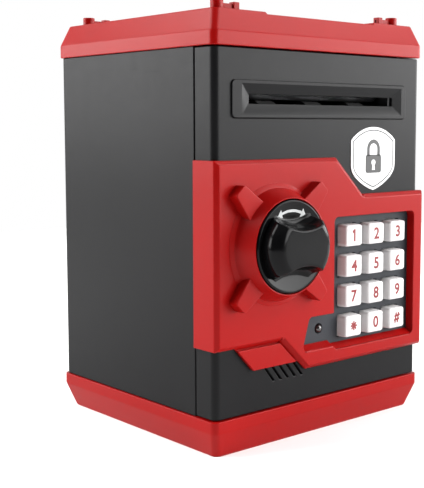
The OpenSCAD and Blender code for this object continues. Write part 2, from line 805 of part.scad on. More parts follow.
// Bracket that carries the bolt and the solenoid
module latch_guide() color([0.35, 0.35, 0.37]) {
    left = -cover_hw + cover_wall + 0.3;
    right = knob_x + 17.5;
    shelf = solenoid_top;
    difference() {
        union() {
            fwd(guide_f, guide_t) span(left, right, shelf, knob_z + 10);
            for (x = [left + 1.5, right - 6])
                block(x, x + 4, bolt_back_f - 1.5, guide_f + e, bolt_bottom - 2, bolt_top + 2.6);
            block(notch_x - 6, notch_x + 6, bolt_back_f - 1.5, guide_f + e, shelf, shelf + 1.4);
        }
        block(left - 1, right + 1, bolt_back_f - slide_gap, bolt_front_f + slide_gap,
            bolt_bottom - slide_gap, bolt_top + 1.35);
        rod(knob_x, knob_z, guide_f - 1, 3, spindle_r + 0.4);
        guide_posts(guide_f - 1, guide_f + 3, 1.1);
        translate([notch_x, -(bolt_back_f + bolt_front_f) / 2, shelf - 1])
            cylinder(h = 4, r = plunger_r + 0.3);
    }
}

module solenoid_body() color([0.55, 0.5, 0.42]) {
    mid_f = (bolt_back_f + bolt_front_f) / 2;
    plate = 1.2;
    deep = 6;
    left = notch_x - 6.5;
    right = notch_x + 6.5;
    low = solenoid_top - solenoid_h;
    difference() {
        union() {
            block(left, right, mid_f - deep, mid_f + deep, solenoid_top - plate, solenoid_top);
            block(left, right, mid_f - deep, mid_f + deep, low, low + plate);
            block(right - 1, right, mid_f - deep, mid_f + deep, low, solenoid_top);
            translate([notch_x, -mid_f, low + 1]) cylinder(h = solenoid_h - 2, r = 5);
        }
        translate([notch_x, -mid_f, low + plate]) cylinder(h = solenoid_h + 1, r = plunger_r + run);
    }
}

module solenoid_plunger() color([0.75, 0.75, 0.77]) {
    translate([notch_x, -(bolt_back_f + bolt_front_f) / 2, 0]) {
        translate([0, 0, solenoid_top - solenoid_h + 2]) cylinder(h = solenoid_h - 1, r = plunger_r);
        translate([0, 0, solenoid_top]) cylinder(h = bolt_bottom - 0.4 - solenoid_top, r = rod_r);
    }
}

// Plain white shield: an arched top, upright sides and a pointed foot
module emblem_plate() color([0.95, 0.95, 0.95]) {
    x = 31;
    half = 15;
    shoulder = 130.5;
    arch_r = 22;
    drop = sqrt(arch_r * arch_r - half * half);
    sweep = asin(half / arch_r);
    arch = [for (a = [sweep:-sweep / 8:-sweep]) [x + arch_r * sin(a), shoulder - drop + arch_r * cos(a)]];
    fwd(face_f, 0.4) polygon(concat(arch, [[x - half, 119], [x, 107.4], [x + half, 119]]));
}

// ---- keypad ----

module keypad_plate() color([0.25, 0.26, 0.28]) {
    difference() {
        union() {
            fwd(back_f, floor_f - back_f) keypad_shape(skirt);
            fwd(plate_back_f, back_f - plate_back_f) keypad_shape(skirt + 1.2);
            board_posts(mat_back_f, plate_back_f + e, 1.6);
        }
        for (c = [0:2], r = [0:3]) fwd(plate_back_f - 1, 5)
            key_place(c, r) square([key_w + 2 * slide_gap, key_h + 2 * slide_gap], center = true);
        rod(lamp_pos[0], lamp_pos[1], plate_back_f - 1, 5, lamp_r + 0.4);
        board_posts(mat_back_f - 1, plate_back_f - 1, 0.9);
    }
}

module key_place(c, r) {
    translate([keypad_x + (c - 1) * key_pitch_x, keypad_z + (r - 1.5) * key_pitch_z]) children();
}

module board_posts(f0, f1, r) {
    for (x = [window_x0 - 0.4, window_x1 - 0.4], z = [window_z0 - 0.2, window_z1 + 0.2])
        rod(x, z, f0, f1 - f0, r);
}

// One key: a rounded cap that narrows a little, and a flange that keeps it behind the plate
module key(c, r) color([0.93, 0.92, 0.91]) {
    front_f = red_f + key_proud;
    fwd(key_flange_f - e, floor_f - key_flange_f + 2.5)
        key_place(c, r) round_rect(key_w / 2, key_h / 2, 1.2);
    hull() {
        fwd(floor_f + 2, 2) key_place(c, r) round_rect(key_w / 2, key_h / 2, 1.2);
        fwd(front_f - 0.5, 0.5) key_place(c, r) round_rect(key_w / 2 - 0.5, key_h / 2 - 0.5, 1.2);
    }
    fwd(key_back_f, key_flange_f - key_back_f)
        key_place(c, r) square([key_pitch_x - 1.4, key_pitch_z - 1.4], center = true);
}

module key_mat() color([0.75, 0.75, 0.72]) {
    difference() {
        union() {
            fwd(mat_back_f, 0.8)
                span(window_x0 - 2.6, window_x1 + 1.4, window_z0 - 2.4, window_z1 + 2.4);
            for (c = [0:2], r = [0:3]) fwd(mat_back_f + 0.8 - e, 0.4 + e) key_place(c, r) circle(3.5);
        }
        board_posts(mat_back_f - 1, plate_back_f, 1.7);
    }
}

module keypad_board() color([0.1, 0.35, 0.2]) {
    difference() {
        fwd(board_back_f, board_t) board_shape();
        board_posts(board_back_f - 1, mat_back_f + 1, 0.9);
        // Clearance for the hinge barrel
        translate([pivot_x, -pivot_f, 0]) cylinder(h = case_h, r = barrel_r + barrel_gap);
    }
    for (z = [keypad_z - 18, keypad_z + 2, keypad_z + 20])
        block(keypad_x - 6, keypad_x + 6, board_back_f - 1.5, board_back_f, z - 4, z + 4);
}

module board_shape() {
    span(window_x0 - 3.4, window_x1 + 1.6, window_z0 - 3, window_z1 + 3);
}

// Small dark lamp beside the keypad, on its own leads
module status_lamp() color([0.12, 0.1, 0.1]) {
    rod(lamp_pos[0], lamp_pos[1], plate_back_f, floor_f - plate_back_f - 0.6, lamp_r);
    translate([lamp_pos[0], -(floor_f - 0.6), lamp_pos[1]]) intersection() {
        sphere(lamp_r);
        translate([0, -5 + e, 0]) cube(10, center = true);
    }
    rod(lamp_pos[0], lamp_pos[1], plate_back_f - 0.8, 0.8, lamp_r + 0.9);
}

// ---- electronics and banknote feed ----

module main_board() color([0.1, 0.35, 0.2]) {
    board_f = cover_back_f + cover_wall + 3;
    block(-6, cover_hw - 5, board_f, board_f + board_t, 34, 118);
    block(6, 18, board_f + board_t, board_f + board_t + 1.8, 70, 82);
    block(24, 31, board_f + board_t, board_f + board_t + 1.6, 46, 56);
    block(0, 16, board_f + board_t, board_f + board_t + 5, 106, 112);
    block(24, 40, board_f + board_t, board_f + board_t + 5, 106, 112);
    for (x = [2, 12, 22]) rod(x, 96, board_f + board_t, 6, 3);
}

module speaker() color([0.15, 0.15, 0.16]) {
    x = -31.5;
    z = 33;
    r = 11.5;
    difference() {
        rod(x, z, back_f - 3, 3, r);
        rod(x, z, back_f - 1.5, 3, r - 2);
    }
    rod(x, z, back_f - 6.5, 3.5 + e, 6);
}

module feed_bracket() color([0.3, 0.3, 0.32]) {
    low = motor_z - 6.5;
    high = idler_z + 5;
    axle_f = nip_f;
    difference() {
        union() {
            block(cheek_x, cheek_x + cheek_t, cover_back_f + 4.5, back_f, low, high);
            block(-cheek_x - cheek_t, -cheek_x, cover_back_f + 4.5, back_f, feed_z - 9, high);
            block(-cheek_x - cheek_t, cheek_x + cheek_t, back_f - 1.6, back_f, high - 2, high);
            block(-cheek_x - cheek_t, cheek_x + cheek_t, back_f - 1.6, back_f, feed_z - 9, feed_z - 7);
        }
        bar_x(-cheek_x - 5, axle_f, feed_z, 2 * cheek_x + 10, shaft_r + run);
        bar_x(-cheek_x - 5, axle_f, idler_z, 2 * cheek_x + 10, shaft_r + run);
        bar_x(cheek_x - 1, axle_f, motor_z, 5, 2);
    }
}

module feed_shaft() color([0.78, 0.78, 0.8]) {
    bar_x(-cheek_x - cheek_t - 1, nip_f, feed_z, 2 * cheek_x + 2 * cheek_t + 5.4, shaft_r);
}

module feed_tyres() color([0.12, 0.12, 0.12]) {
    for (x = [-28, 0, 28]) difference() {
        bar_x(x - 5, nip_f, feed_z, 10, tyre_r);
        bar_x(x - 6, nip_f, feed_z, 12, shaft_r);
    }
}

module feed_gear() color([0.88, 0.88, 0.84]) {
    translate([gear_x, -nip_f, feed_z]) rotate([90, 0, 90]) difference() {
        linear_extrude(gear_w) gear_shape(feed_module, feed_teeth);
        translate([0, 0, -1]) cylinder(h = gear_w + 2, r = shaft_r);
    }
}

module idler_roller() color([0.7, 0.7, 0.72]) {
    bar_x(-cheek_x - cheek_t - 0.6, nip_f, idler_z, 2 * (cheek_x + cheek_t + 0.6), shaft_r);
    bar_x(-cheek_x + 1, nip_f, idler_z, 2 * cheek_x - 2, idler_r);
}

module feed_motor() color([0.6, 0.6, 0.62]) {
    can_l = 24;
    block(cheek_x - can_l, cheek_x, nip_f - 6, nip_f + 6, motor_z - 5, motor_z + 5);
    bar_x(cheek_x - can_l - 2, nip_f, motor_z, 2 + e, 2.5);
}

module motor_pinion() color([0.85, 0.75, 0.45]) {
    translate([gear_x, -nip_f, motor_z]) rotate([90, 0, 90])
        linear_extrude(gear_w) rotate(90 + 180 / motor_teeth) gear_shape(feed_module, motor_teeth);
    bar_x(cheek_x + 0.5, nip_f, motor_z, gear_x - cheek_x - 0.5 + e, 1);
}

// Cover on the back of the door: a box with a flange, a bolt slot and a banknote exit
module inner_cover() color([0.16, 0.16, 0.17]) {
    lo = door_lo + 5;
    hi = door_hi - 5;
    in_f = cover_back_f + cover_wall;
    rim = door_lo + wall + 0.3;
    difference() {
        union() {
            block(-cover_hw, cover_hw, cover_back_f, seam_f + e, lo, hi);
            block(-in_hw + 0.3, pivot_x - barrel_r - 0.6, seam_f, seam_f + flange_t, rim,
                door_hi - wall - 0.3);
        }
        block(-cover_hw + cover_wall, cover_hw - cover_wall, in_f, seam_f + flange_t + 1, lo + cover_wall,
            hi - cover_wall);
        // Way out for the bolt
        block(-cover_hw - 1, -cover_hw + 3, bolt_back_f - slide_gap, bolt_front_f + slide_gap,
            bolt_bottom - slide_gap, bolt_top + 1.2);
        // Way out for the banknotes
        block(-slot_l / 2 + 2, slot_l / 2 - 2, cover_back_f - 1, in_f + 1, slot_z - 4, slot_z + 4);
        cover_posts(seam_f - 1, seam_f + 4, 1.1);
        // Clearance behind the keypad board
        fwd(board_back_f - board_gap, door_d) offset(delta = board_gap) board_shape();
    }
    for (x = [0, cover_hw - 11], z = [38, 114]) rod(x, z, in_f - e, 3 + e, 2);
}

module cover_screws() color([0.7, 0.7, 0.72]) {
    for (sx = [-1, 1], z = [24, 104, 160]) {
        rod(sx * (cover_hw + 3.3), z, seam_f - 1.2, 1.2, 2.3);
        rod(sx * (cover_hw + 3.3), z, seam_f - 0.2, back_f - seam_f - cover_screw_rest, 0.95);
    }
}

body_shell();
base_tray();
bottom_plate();
top_cap();
hinge_pins();
battery_box();
batteries();
battery_contacts();
battery_cover();
battery_cover_screw();
base_pads();
case_screws();
cap_screws();
strike_plate();
front_shell();
door_panel();
knob_ring();
emblem_plate();
keypad_plate();
for (r = [0:3], c = [0:2])
    key(c, r);
key_mat();
keypad_board();
status_lamp();
knob();
knob_spindle();
latch_pinion();
latch_bolt();
latch_guide();
solenoid_body();
solenoid_plunger();
main_board();
speaker();
feed_bracket();
feed_shaft();
feed_tyres();
feed_gear();
idler_roller();
feed_motor();
motor_pinion();
inner_cover();
cover_screws();
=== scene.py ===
"""Looks for the toy safe coin bank: refined casing, knob, keys, badge, finishes, camera and lights."""

import json
import math

import bmesh
import bpy
import numpy as np
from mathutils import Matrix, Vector

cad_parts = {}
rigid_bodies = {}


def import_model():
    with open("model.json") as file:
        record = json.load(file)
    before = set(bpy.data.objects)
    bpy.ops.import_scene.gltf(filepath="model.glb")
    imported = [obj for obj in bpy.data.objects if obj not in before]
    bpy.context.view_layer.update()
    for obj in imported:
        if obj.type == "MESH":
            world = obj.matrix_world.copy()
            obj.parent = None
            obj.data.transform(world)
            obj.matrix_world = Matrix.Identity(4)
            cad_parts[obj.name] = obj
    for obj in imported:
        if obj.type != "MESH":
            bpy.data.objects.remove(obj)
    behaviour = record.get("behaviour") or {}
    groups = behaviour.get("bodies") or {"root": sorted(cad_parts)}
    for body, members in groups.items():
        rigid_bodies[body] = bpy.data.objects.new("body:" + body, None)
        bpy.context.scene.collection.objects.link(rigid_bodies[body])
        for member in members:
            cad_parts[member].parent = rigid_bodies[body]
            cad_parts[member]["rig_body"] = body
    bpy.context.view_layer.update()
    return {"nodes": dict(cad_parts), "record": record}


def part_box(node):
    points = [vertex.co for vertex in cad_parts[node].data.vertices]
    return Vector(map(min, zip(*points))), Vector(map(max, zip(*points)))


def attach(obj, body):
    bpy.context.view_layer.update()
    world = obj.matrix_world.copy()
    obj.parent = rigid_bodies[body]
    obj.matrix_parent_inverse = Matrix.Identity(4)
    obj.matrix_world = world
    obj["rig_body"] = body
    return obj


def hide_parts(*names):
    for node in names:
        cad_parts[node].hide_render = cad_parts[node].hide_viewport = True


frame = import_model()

bl_info = {
    "name": "Toy safe looks",
    "version": (1, 0, 0),
    "blender": (4, 5, 0),
    "location": "View3D > Sidebar > Toy safe",
    "description": "Builds the visible surfaces, finishes and studio of a toy safe coin bank",
    "category": "Object",
}

MM = 0.001
FINISH_NAMES = {m["slot"] for m in frame["record"]["materials"]}

# Shapes, in millimetres. Cap and base: height of the upright band, lean of the slope, radius of the
# upright corners; then the cap's channel with its dip and banks, and the coin slot's sides
CAP = {"band": 5.7, "inset": 3.4, "corner": 3.0, "channel": 66.0, "dip": 1.0, "bank": 0.8,
       "slot_x": 32.0, "slot_y": 3.2}
BASE = {"band": 5.0, "inset": 3.7, "corner": 3.0, "wall": 2.3, "opening": 24.0}
# Lugs on the cap: a round boss near each corner, with an arm that ends in a wider foot. A step is how
# far the arm or its foot stays below the boss's top, and the root is how deep all three go in
LUG = {"height": 4.0, "margin": 7.3, "boss": 2.7, "arm": 11.0, "arm_w": 1.6, "arm_step": 1.2,
       "foot": 3.2, "foot_step": 0.4, "root": 0.5}
# Screws of the casing: radius of a head, and the tube round each in the base
SCREW = {"head": 2.7, "tube": 4.0, "bore": 1.6, "floor": 2.4}
# Knob: the waist is an arc of radius `scoop` that flares at its foot; the grip's top is flat out to
# `flat`, then falls in a quarter circle to `end`; the dish is `bowl` deep inside a round lip
KNOB = {"scoop": 24.0, "flare": 4.8, "flat": 11.3, "end": 16.6, "bowl": 1.9, "lip": 0.8, "edge": 0.7,
        "side": 4.0, "back_edge": 0.4, "spindle": 3.0}
# Ring round the knob: its gap, the width of its cone, the step at the cone's foot, the lip and the
# hole in its floor; then where the arms start and end, their half widths and their height
RING = {"gap": 0.4, "foot": 6.5, "step": 1.0, "lip": 0.6, "hole": 3.5, "arm_start": 20.6,
        "arm_reach": 14.5, "arm_wide": 5.35, "arm_narrow": 3.1, "arm_h": 5.0}
# Turn arrow: radius and width of its arc, degrees from the top to the arc's end and to the head's tip,
# and half the head's width
ARROW = {"radius": 14.9, "width": 1.1, "end": 22, "tip": 33, "half_head": 1.9}
# Keys: half sides and corners of the cap, the flange's thickness, the wall's height and its draft, and
# how far a figure stands above the middle
KEY = {"half_x": 5.55, "half_z": 5.0, "corner": 1.5, "flange": 1.0, "wall": 4.8, "draft": 0.2,
       "figure_up": 0.1}
KEY_TEXT = {**{digit: digit for digit in "123456789"}, "star": "*", "0": "0", "hash": "#"}
# Print: how far it stands proud of its root, and how deep that lies in the surface
PRINT = {"lift": 0.05, "sink": 0.02}
# Shield: rise of its arched top, where its upright sides end as a share of the way up, its edge, the
# border line and how far the padlock stands above the middle
SHIELD = {"rise": 5.9, "sides": 0.52, "edge": 0.12, "border_in": 1.5, "border_w": 0.55, "raise": 0.6}
PADLOCK = {"half_w": 5.4, "foot": 7.2, "tall": 8.4, "corner": 1.2, "shackle": 3.5, "shackle_w": 1.9,
           "leg": 2.6}
KEYHOLE = {"drop": 2.4, "radius": 1.35, "stem": 3.4, "foot": 0.95, "neck": 0.5}

# Studio, in metres, degrees and watts. The sky's parts are strengths of a white light
FLOOR_HALF = 0.8
SKY = {"dim": 0.04, "beyond": 1.05, "overhead": 0.35, "backdrop": 1.0}
SOFTBOXES = (  # name, azimuth, elevation, distance, sides, power
    ("right_front", 46, 10, 1.3, (1.9, 0.5), 32.0),
    ("left_back", -128, 11, 1.3, (1.1, 0.5), 17.0),
    ("right_high", 46, 44, 1.2, (0.9, 0.6), 12.0),
    ("left_high", -128, 44, 1.2, (0.9, 0.6), 17.0),
)
CAMERA = {"azimuth": -41.664, "elevation": 5.425, "away": 0.48575, "target": (0.00410, -0.00365, 0.09105),
          "sensor": 36.0, "lens": 73.67, "shift": (-0.0811, -0.0481)}


def screen(r, g, b):
    """Linear colour of a screen colour whose parts run to 255: the inverse of the screen's own curve."""
    c = np.array([r, g, b]) / 255.0
    return tuple(float(v) for v in np.where(c <= 0.04045, c / 12.92, ((c + 0.055) / 1.055) ** 2.4))


def box_mm(node):
    """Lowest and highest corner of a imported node, in millimetres."""
    lo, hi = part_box(node)
    return np.array(lo) / MM, np.array(hi) / MM


def screw_places():
    """Middle of each screw that joins the casing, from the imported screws' box and their head radius."""
    low, high = box_mm("case_screws")
    head = SCREW["head"]
    return [(x, y) for x in (low[0] + head, high[0] - head) for y in (low[1] + head, high[1] - head)]


def heading(azimuth, elevation):
    """Unit vector from the object towards an azimuth and elevation in degrees; azimuth 0 is -Y."""
    a, e = math.radians(azimuth), math.radians(elevation)
    return Vector((math.sin(a) * math.cos(e), -math.cos(a) * math.cos(e), math.sin(e)))


# ---- shader maths ----


class Field:
    """A number that varies over a surface. Arithmetic on it adds Math nodes to its graph."""

    def __init__(self, graph, socket):
        self.graph = graph
        self.socket = socket

    def apply(self, operation, *terms):
        made = self.graph.node("ShaderNodeMath", {"operation": operation}, dict(enumerate(terms)))
        return Field(self.graph, made.outputs[0])

    def __add__(self, other):
        return self.apply("ADD", self, other)

    def __sub__(self, other):
        return self.apply("SUBTRACT", self, other)

    def __rsub__(self, other):
        return self.apply("SUBTRACT", other, self)

    def __mul__(self, other):
        return self.apply("MULTIPLY", self, other)

    def __lt__(self, other):
        return self.apply("LESS_THAN", self, other)

    def __abs__(self):
        return self.apply("ABSOLUTE", self)

    __radd__ = __add__
    __rmul__ = __mul__


class Graph:
    """A node tree that is emptied and filled again."""

    def __init__(self, owner):
        owner.use_nodes = True
        self.tree = owner.node_tree
        self.tree.nodes.clear()

    def node(self, kind, settings=None, sockets=None):
        """Adds a node of this kind: its settings first, then the values or links of its sockets."""
        made = self.tree.nodes.new(kind)
        for key, value in (settings or {}).items():
            setattr(made, key, value)
        for key, value in (sockets or {}).items():
            self.put(made, key, value)
        return made

    def put(self, node, key, value):
        """Sets one socket to a number or colour, or links it to a field or another node's output."""
        if isinstance(value, Field):
            value = value.socket
        if isinstance(value, bpy.types.NodeSocket):
            self.tree.links.new(value, node.inputs[key])
        elif hasattr(value, "__len__") and len(value) == 3 and node.inputs[key].type == "RGBA":
            node.inputs[key].default_value = (*value, 1.0)
        else:
            node.inputs[key].default_value = value

    def between(self, field, low, high, curve="LINEAR"):
        """Ramp of a field: 0 at `low`, 1 at `high`, held at both ends."""
        made = self.node("ShaderNodeMapRange", {"clamp": True, "interpolation_type": curve},
                         {"Value": field, "From Min": low, "From Max": high})
        return Field(self, made.outputs[0])


class Finish(Graph):
    """One material: its shader and the patterns that feed it."""

    def __init__(self, name, **fixed):
        self.material = bpy.data.materials.new(name)
        super().__init__(self.material)
        self.shader = self.node("ShaderNodeBsdfPrincipled", {}, fixed)
        self.node("ShaderNodeOutputMaterial", {}, {"Surface": self.shader.outputs[0]})
        self.place = self.node("ShaderNodeTexCoord").outputs["Object"]

    def mapped(self, scale, turn=(0.0, 0.0, 0.0)):
        """Object coordinates in units of the given sizes in millimetres, then turned."""
        size = np.broadcast_to(np.array(scale, float), 3) * MM
        return self.node("ShaderNodeMapping", {}, {"Vector": self.place, "Rotation": turn,
                                                   "Scale": tuple(1.0 / size)}).outputs[0]

    def noise(self, scale, detail=2.0, rough=0.5, bend=0.0, turn=(0.0, 0.0, 0.0)):
        """Cloudy noise whose blobs are about `scale` millimetres across, from 0 to 1."""
        made = self.node("ShaderNodeTexNoise", {}, {"Vector": self.mapped(scale, turn), "Scale": 1.0,
                         "Detail": detail, "Roughness": rough, "Distortion": bend})
        return Field(self, made.outputs["Fac"])

    def dots(self, scale):
        """Distance to scattered points about `scale` millimetres apart, as a share of that."""
        made = self.node("ShaderNodeTexVoronoi", {"feature": "F1"},
                         {"Vector": self.mapped(scale), "Scale": 1.0})
        return Field(self, made.outputs["Distance"])

    def axis(self, name):
        """One object coordinate, in millimetres."""
        parts = self.node("ShaderNodeSeparateXYZ", {}, {0: self.mapped(1.0)})
        return Field(self, parts.outputs[name])

    def blend(self, low, high, amount):
        """Colour that goes from `low` to `high` as the amount goes from 0 to 1."""
        made = self.node("ShaderNodeMix", {"data_type": "RGBA"}, {0: amount, 6: low, 7: high})
        return made.outputs[2]

    def bump(self, height, depth):
        """Raises the surface by a height field times a depth in millimetres."""
        made = self.node("ShaderNodeBump", {}, {"Height": height, "Distance": depth * MM, "Strength": 1.0})
        self.put(self.shader, "Normal", made.outputs[0])

    def set(self, **sockets):
        """Feeds the shader's sockets, with an underscore for each space in a name."""
        for key, value in sockets.items():
            self.put(self.shader, key.replace("_", " "), value)


# ---- finishes ----


def shade(colour, factor):
    """A colour made lighter or darker by a factor."""
    return tuple(min(1.0, c * factor) for c in colour)


def moulded(name, colour, rough, grain, depth, spread, gloss, coat=0.0):
    """Moulded plastic. Slow flow marks and specks vary the colour by a share, `spread`, of itself; dust
    and fine scuffs drift the roughness about `rough`; and a grain, its size and depth in millimetres,
    lifts the surface. `gloss` is the specular level and `coat` the weight of a clear coat."""
    f = Finish(name, **{"Specular IOR Level": gloss, "Coat Weight": coat, "Coat Roughness": 0.08})
    flow = f.noise(38.0, detail=3.0, rough=0.55, bend=0.6)
    speck = f.noise(1.3, rough=0.6)
    dust = f.noise(6.5, detail=4.0, rough=0.65)
    tint = f.between(flow * 0.7 + speck * 0.3, 0.3, 0.7)
    f.set(Base_Color=f.blend(shade(colour, 1.0 - spread), shade(colour, 1.0 + spread), tint))
    hairs = f.noise((0.5, 14.0, 0.5), detail=3.0, rough=0.7, turn=(0.5, 0.3, 0.9))
    scuff = f.between(hairs, 0.60, 0.72)
    f.set(Roughness=rough + 0.10 * (dust - 0.5) + 0.10 * scuff)
    f.bump(f.noise(grain, detail=3.0, rough=0.6) + 0.35 * dust, depth)
    return f.material


def metal(name, colour, rough):
    """Plated or drawn metal: long fine upright streaks in roughness and bump."""
    f = Finish(name, Metallic=1.0)
    streak = f.noise((0.12, 0.12, 3.0), detail=3.0, rough=0.6)
    cloud = f.noise(4.0, detail=3.0, rough=0.6)
    f.set(Base_Color=f.blend(shade(colour, 0.82), shade(colour, 1.08), f.between(cloud, 0.3, 0.7)))
    f.set(Roughness=rough + 0.16 * (streak - 0.5) + 0.08 * cloud)
    f.bump(streak, 0.01)
    return f.material


def board_finish(name, colour):
    """Solder mask over copper: tracks that run in two directions, with bright pads."""
    f = Finish(name, **{"Specular IOR Level": 0.5, "Coat Weight": 0.3})
    across = f.noise((9.0, 0.7, 0.7), detail=1.0, rough=0.4)
    upright = f.noise((0.7, 0.7, 9.0), detail=1.0, rough=0.4)
    tracks = f.between(across, 0.52, 0.55) * f.between(upright, 0.42, 0.45)
    pads = f.dots(3.4) < 0.16
    mask = f.blend(shade(colour, 0.75), shade(colour, 1.5), tracks)
    f.set(Base_Color=f.blend(mask, (0.62, 0.60, 0.52), pads), Metallic=pads * 0.8)
    f.set(Roughness=0.38 + 0.12 * f.noise(2.0))
    f.bump(tracks * 0.6 + pads, 0.035)
    return f.material


def rubbery(name, colour, rough, grain):
    """Moulded rubber: matt, with a soft grain and a slight bloom."""
    f = Finish(name, **{"Specular IOR Level": 0.35})
    bloom = f.noise(5.0, detail=4.0, rough=0.7)
    f.set(Base_Color=f.blend(shade(colour, 0.8), shade(colour, 1.35), f.between(bloom, 0.3, 0.75)))
    f.set(Roughness=rough + 0.12 * (bloom - 0.5))
    f.bump(f.noise(grain, detail=3.0, rough=0.65), 0.03)
    return f.material


def sleeve_finish(name, colour):
    """Printed sleeve of a cell: a dark band at each end over the main colour, under varnish. The
    bands start 17 mm from the middle of the cell."""
    f = Finish(name, **{"Coat Weight": 0.4, "Specular IOR Level": 0.5})
    dark = f.between(abs(f.axis("X")), 17.0, 17.4)
    worn = f.noise(3.0, detail=4.0, rough=0.6)
    f.set(Base_Color=f.blend(colour, (0.02, 0.02, 0.02), dark))
    f.set(Roughness=0.30 + 0.15 * worn, Metallic=0.3 * dark)
    f.bump(worn, 0.01)
    return f.material


def taped_coil(name, colour):
    """Wound coil under tape: close turns show as fine ridges up its height, with painted shade in the
    grooves and a painted highlight on the crests.
    """
    f = Finish(name, **{"Specular IOR Level": 0.5})
    wave = f.node("ShaderNodeTexWave", {"bands_direction": "Z"},
                  {"Vector": f.mapped(0.9), "Scale": 0.5, "Distortion": 0.4})
    ridge = Field(f, wave.outputs["Fac"])
    # Painted shade darkens the tape in the grooves between turns and a painted highlight lightens it on the
    # crests, after the same ridges as the bump
    f.set(Base_Color=f.blend(shade(colour, 0.6), shade(colour, 1.2), ridge))
    f.set(Roughness=0.42 + 0.1 * f.noise(2.5))
    f.bump(ridge, 0.05)
    return f.material


def make_finishes(paint):
    """Every finish of the safe, by the name of its material slot."""
    table = (  # maker, name, colour, and what else the maker takes
        (moulded, "red_plastic", paint.red, 0.30, 0.35, 0.012, 0.05, 0.10),
        (moulded, "dark_plastic", paint.dark, 0.34, 0.30, 0.016, 0.10, 0.09),
        (moulded, "black_gloss", paint.knob, 0.16, 0.8, 0.004, 0.15, 0.11),
        (moulded, "key_white", paint.key, 0.28, 0.5, 0.006, 0.02, 0.15),
        (moulded, "keypad_grey", paint.keypad, 0.45, 0.3, 0.014, 0.10, 0.12),
        (moulded, "print_white", paint.badge, 0.34, 0.4, 0.006, 0.03, 0.5),
        (moulded, "lamp", screen(34, 26, 26), 0.10, 1.0, 0.003, 0.2, 0.5, 0.8),
        (moulded, "black_plastic", screen(30, 30, 31), 0.48, 0.4, 0.018, 0.12, 0.4),
        (moulded, "gear_plastic", screen(222, 220, 210), 0.38, 0.6, 0.008, 0.03, 0.5),
        (metal, "steel", (0.60, 0.60, 0.62), 0.28),
        (metal, "brass", (0.70, 0.50, 0.20), 0.30),
        (rubbery, "rubber", screen(38, 38, 38), 0.72, 0.6),
        (rubbery, "silicone", screen(196, 196, 190), 0.55, 0.9),
        (board_finish, "circuit_board", screen(28, 110, 66)),
        (sleeve_finish, "cell_label", screen(40, 110, 62)),
        (taped_coil, "coil", screen(176, 150, 104)),
        (moulded, "figure_red", paint.figure, 0.40, 0.4, 0.004, 0.06, 0.4),
        (moulded, "figure_grey", screen(176, 178, 178), 0.40, 0.4, 0.004, 0.05, 0.4),
        (moulded, "figure_black", screen(18, 18, 18), 0.40, 0.4, 0.004, 0.10, 0.4),
    )
    return {name: maker(name, tuple(colour), *rest) for maker, name, colour, *rest in table}


FINISHES = {}


def finish(slot):
    """The material of one slot; the finishes are made on the first call."""
    if not FINISHES:
        FINISHES.update(make_finishes(bpy.context.scene.toy_safe_paint))
    return FINISHES[slot]


# ---- surfaces ----


def unit(v):
    """Vectors along the last axis, each divided by its own length."""
    return v / np.maximum(np.linalg.norm(v, axis=-1, keepdims=True), 1e-12)


def stack(rings):
    """Closed skin through levels of points: each ring joins the next with four-sided faces, and the
    first and last ring are closed by a fan to their middle."""
    levels, count, _ = rings.shape
    points = np.concatenate([rings.reshape(-1, 3), rings[:1].mean(1), rings[-1:].mean(1)])
    j = np.arange(count)
    k = (j + 1) % count
    end = (levels - 1) * count
    first = np.stack([np.full(count, levels * count), k, j], -1)
    last = np.stack([np.full(count, levels * count + 1), end + j, end + k], -1)
    return points, walls(levels, count) + first.tolist() + last.tolist()


def walls(levels, count):
    """Four-sided faces that join each closed ring of `count` points to the next."""
    j = np.arange(count)
    k = (j + 1) % count
    row = np.arange(levels - 1)[:, None] * count
    return np.stack([row + j, row + k, row + count + k, row + count + j], -1).reshape(-1, 4).tolist()


def band(rows):
    """Skin through rows of points that close on themselves in both directions, as a tube bent to a loop."""
    levels, count, _ = rows.shape
    i, j = np.meshgrid(np.arange(levels), np.arange(count), indexing="ij")
    i2, j2 = (i + 1) % levels, (j + 1) % count
    faces = np.stack([i * count + j, i * count + j2, i2 * count + j2, i2 * count + j], -1)
    return rows.reshape(-1, 3), faces.reshape(-1, 4).tolist()


def rounded(corners, radii, per=6):
    """Polygon whose corners are arcs: each arc's centre lies on the corner's bisector, radius over the
    sine of the half angle away, and the arc runs between the points where it meets the two sides."""
    c = np.array(corners, float)
    r = np.broadcast_to(np.array(radii, float), len(c))[:, None]
    before, after = unit(np.roll(c, 1, 0) - c), unit(np.roll(c, -1, 0) - c)
    half = np.arccos(np.clip((before * after).sum(1), -1, 1))[:, None] / 2
    centre = c + unit(before + after) * r / np.sin(half)
    start, stop = c + before * r / np.tan(half) - centre, c + after * r / np.tan(half) - centre
    t = np.linspace(0, 1, per)[None, :, None]
    bend = unit(start[:, None] * (1 - t) + stop[:, None] * t) * r[:, None]
    return (centre[:, None] + bend).reshape(-1, 2)


def rectangle(x0, x1, y0, y1):
    """Corners of a rectangle, anticlockwise."""
    return [(x0, y0), (x1, y0), (x1, y1), (x0, y1)]


def outward(line):
    """Outward normals of a closed outline that runs anticlockwise, from the points on either side."""
    along = unit(np.roll(line, -1, 0) - np.roll(line, 1, 0))
    return np.stack([along[:, 1], -along[:, 0]], -1)


def risen(line, profile):
    """Carries a profile of (outward shift, height) pairs round a closed outline: every point moves
    along its normal by the shift, and rises by the height."""
    shift, height = np.array(profile, float).T
    flat = line[None] + outward(line)[None] * shift[:, None, None]
    return np.concatenate([flat, np.broadcast_to(height[:, None, None], flat.shape[:2] + (1,))], -1)


def carried(line, profile):
    """The same round an outline in the x, z plane, where the height runs forwards, towards -Y."""
    rings = risen(line, profile)
    return np.stack([rings[..., 0], -rings[..., 2], rings[..., 1]], -1)


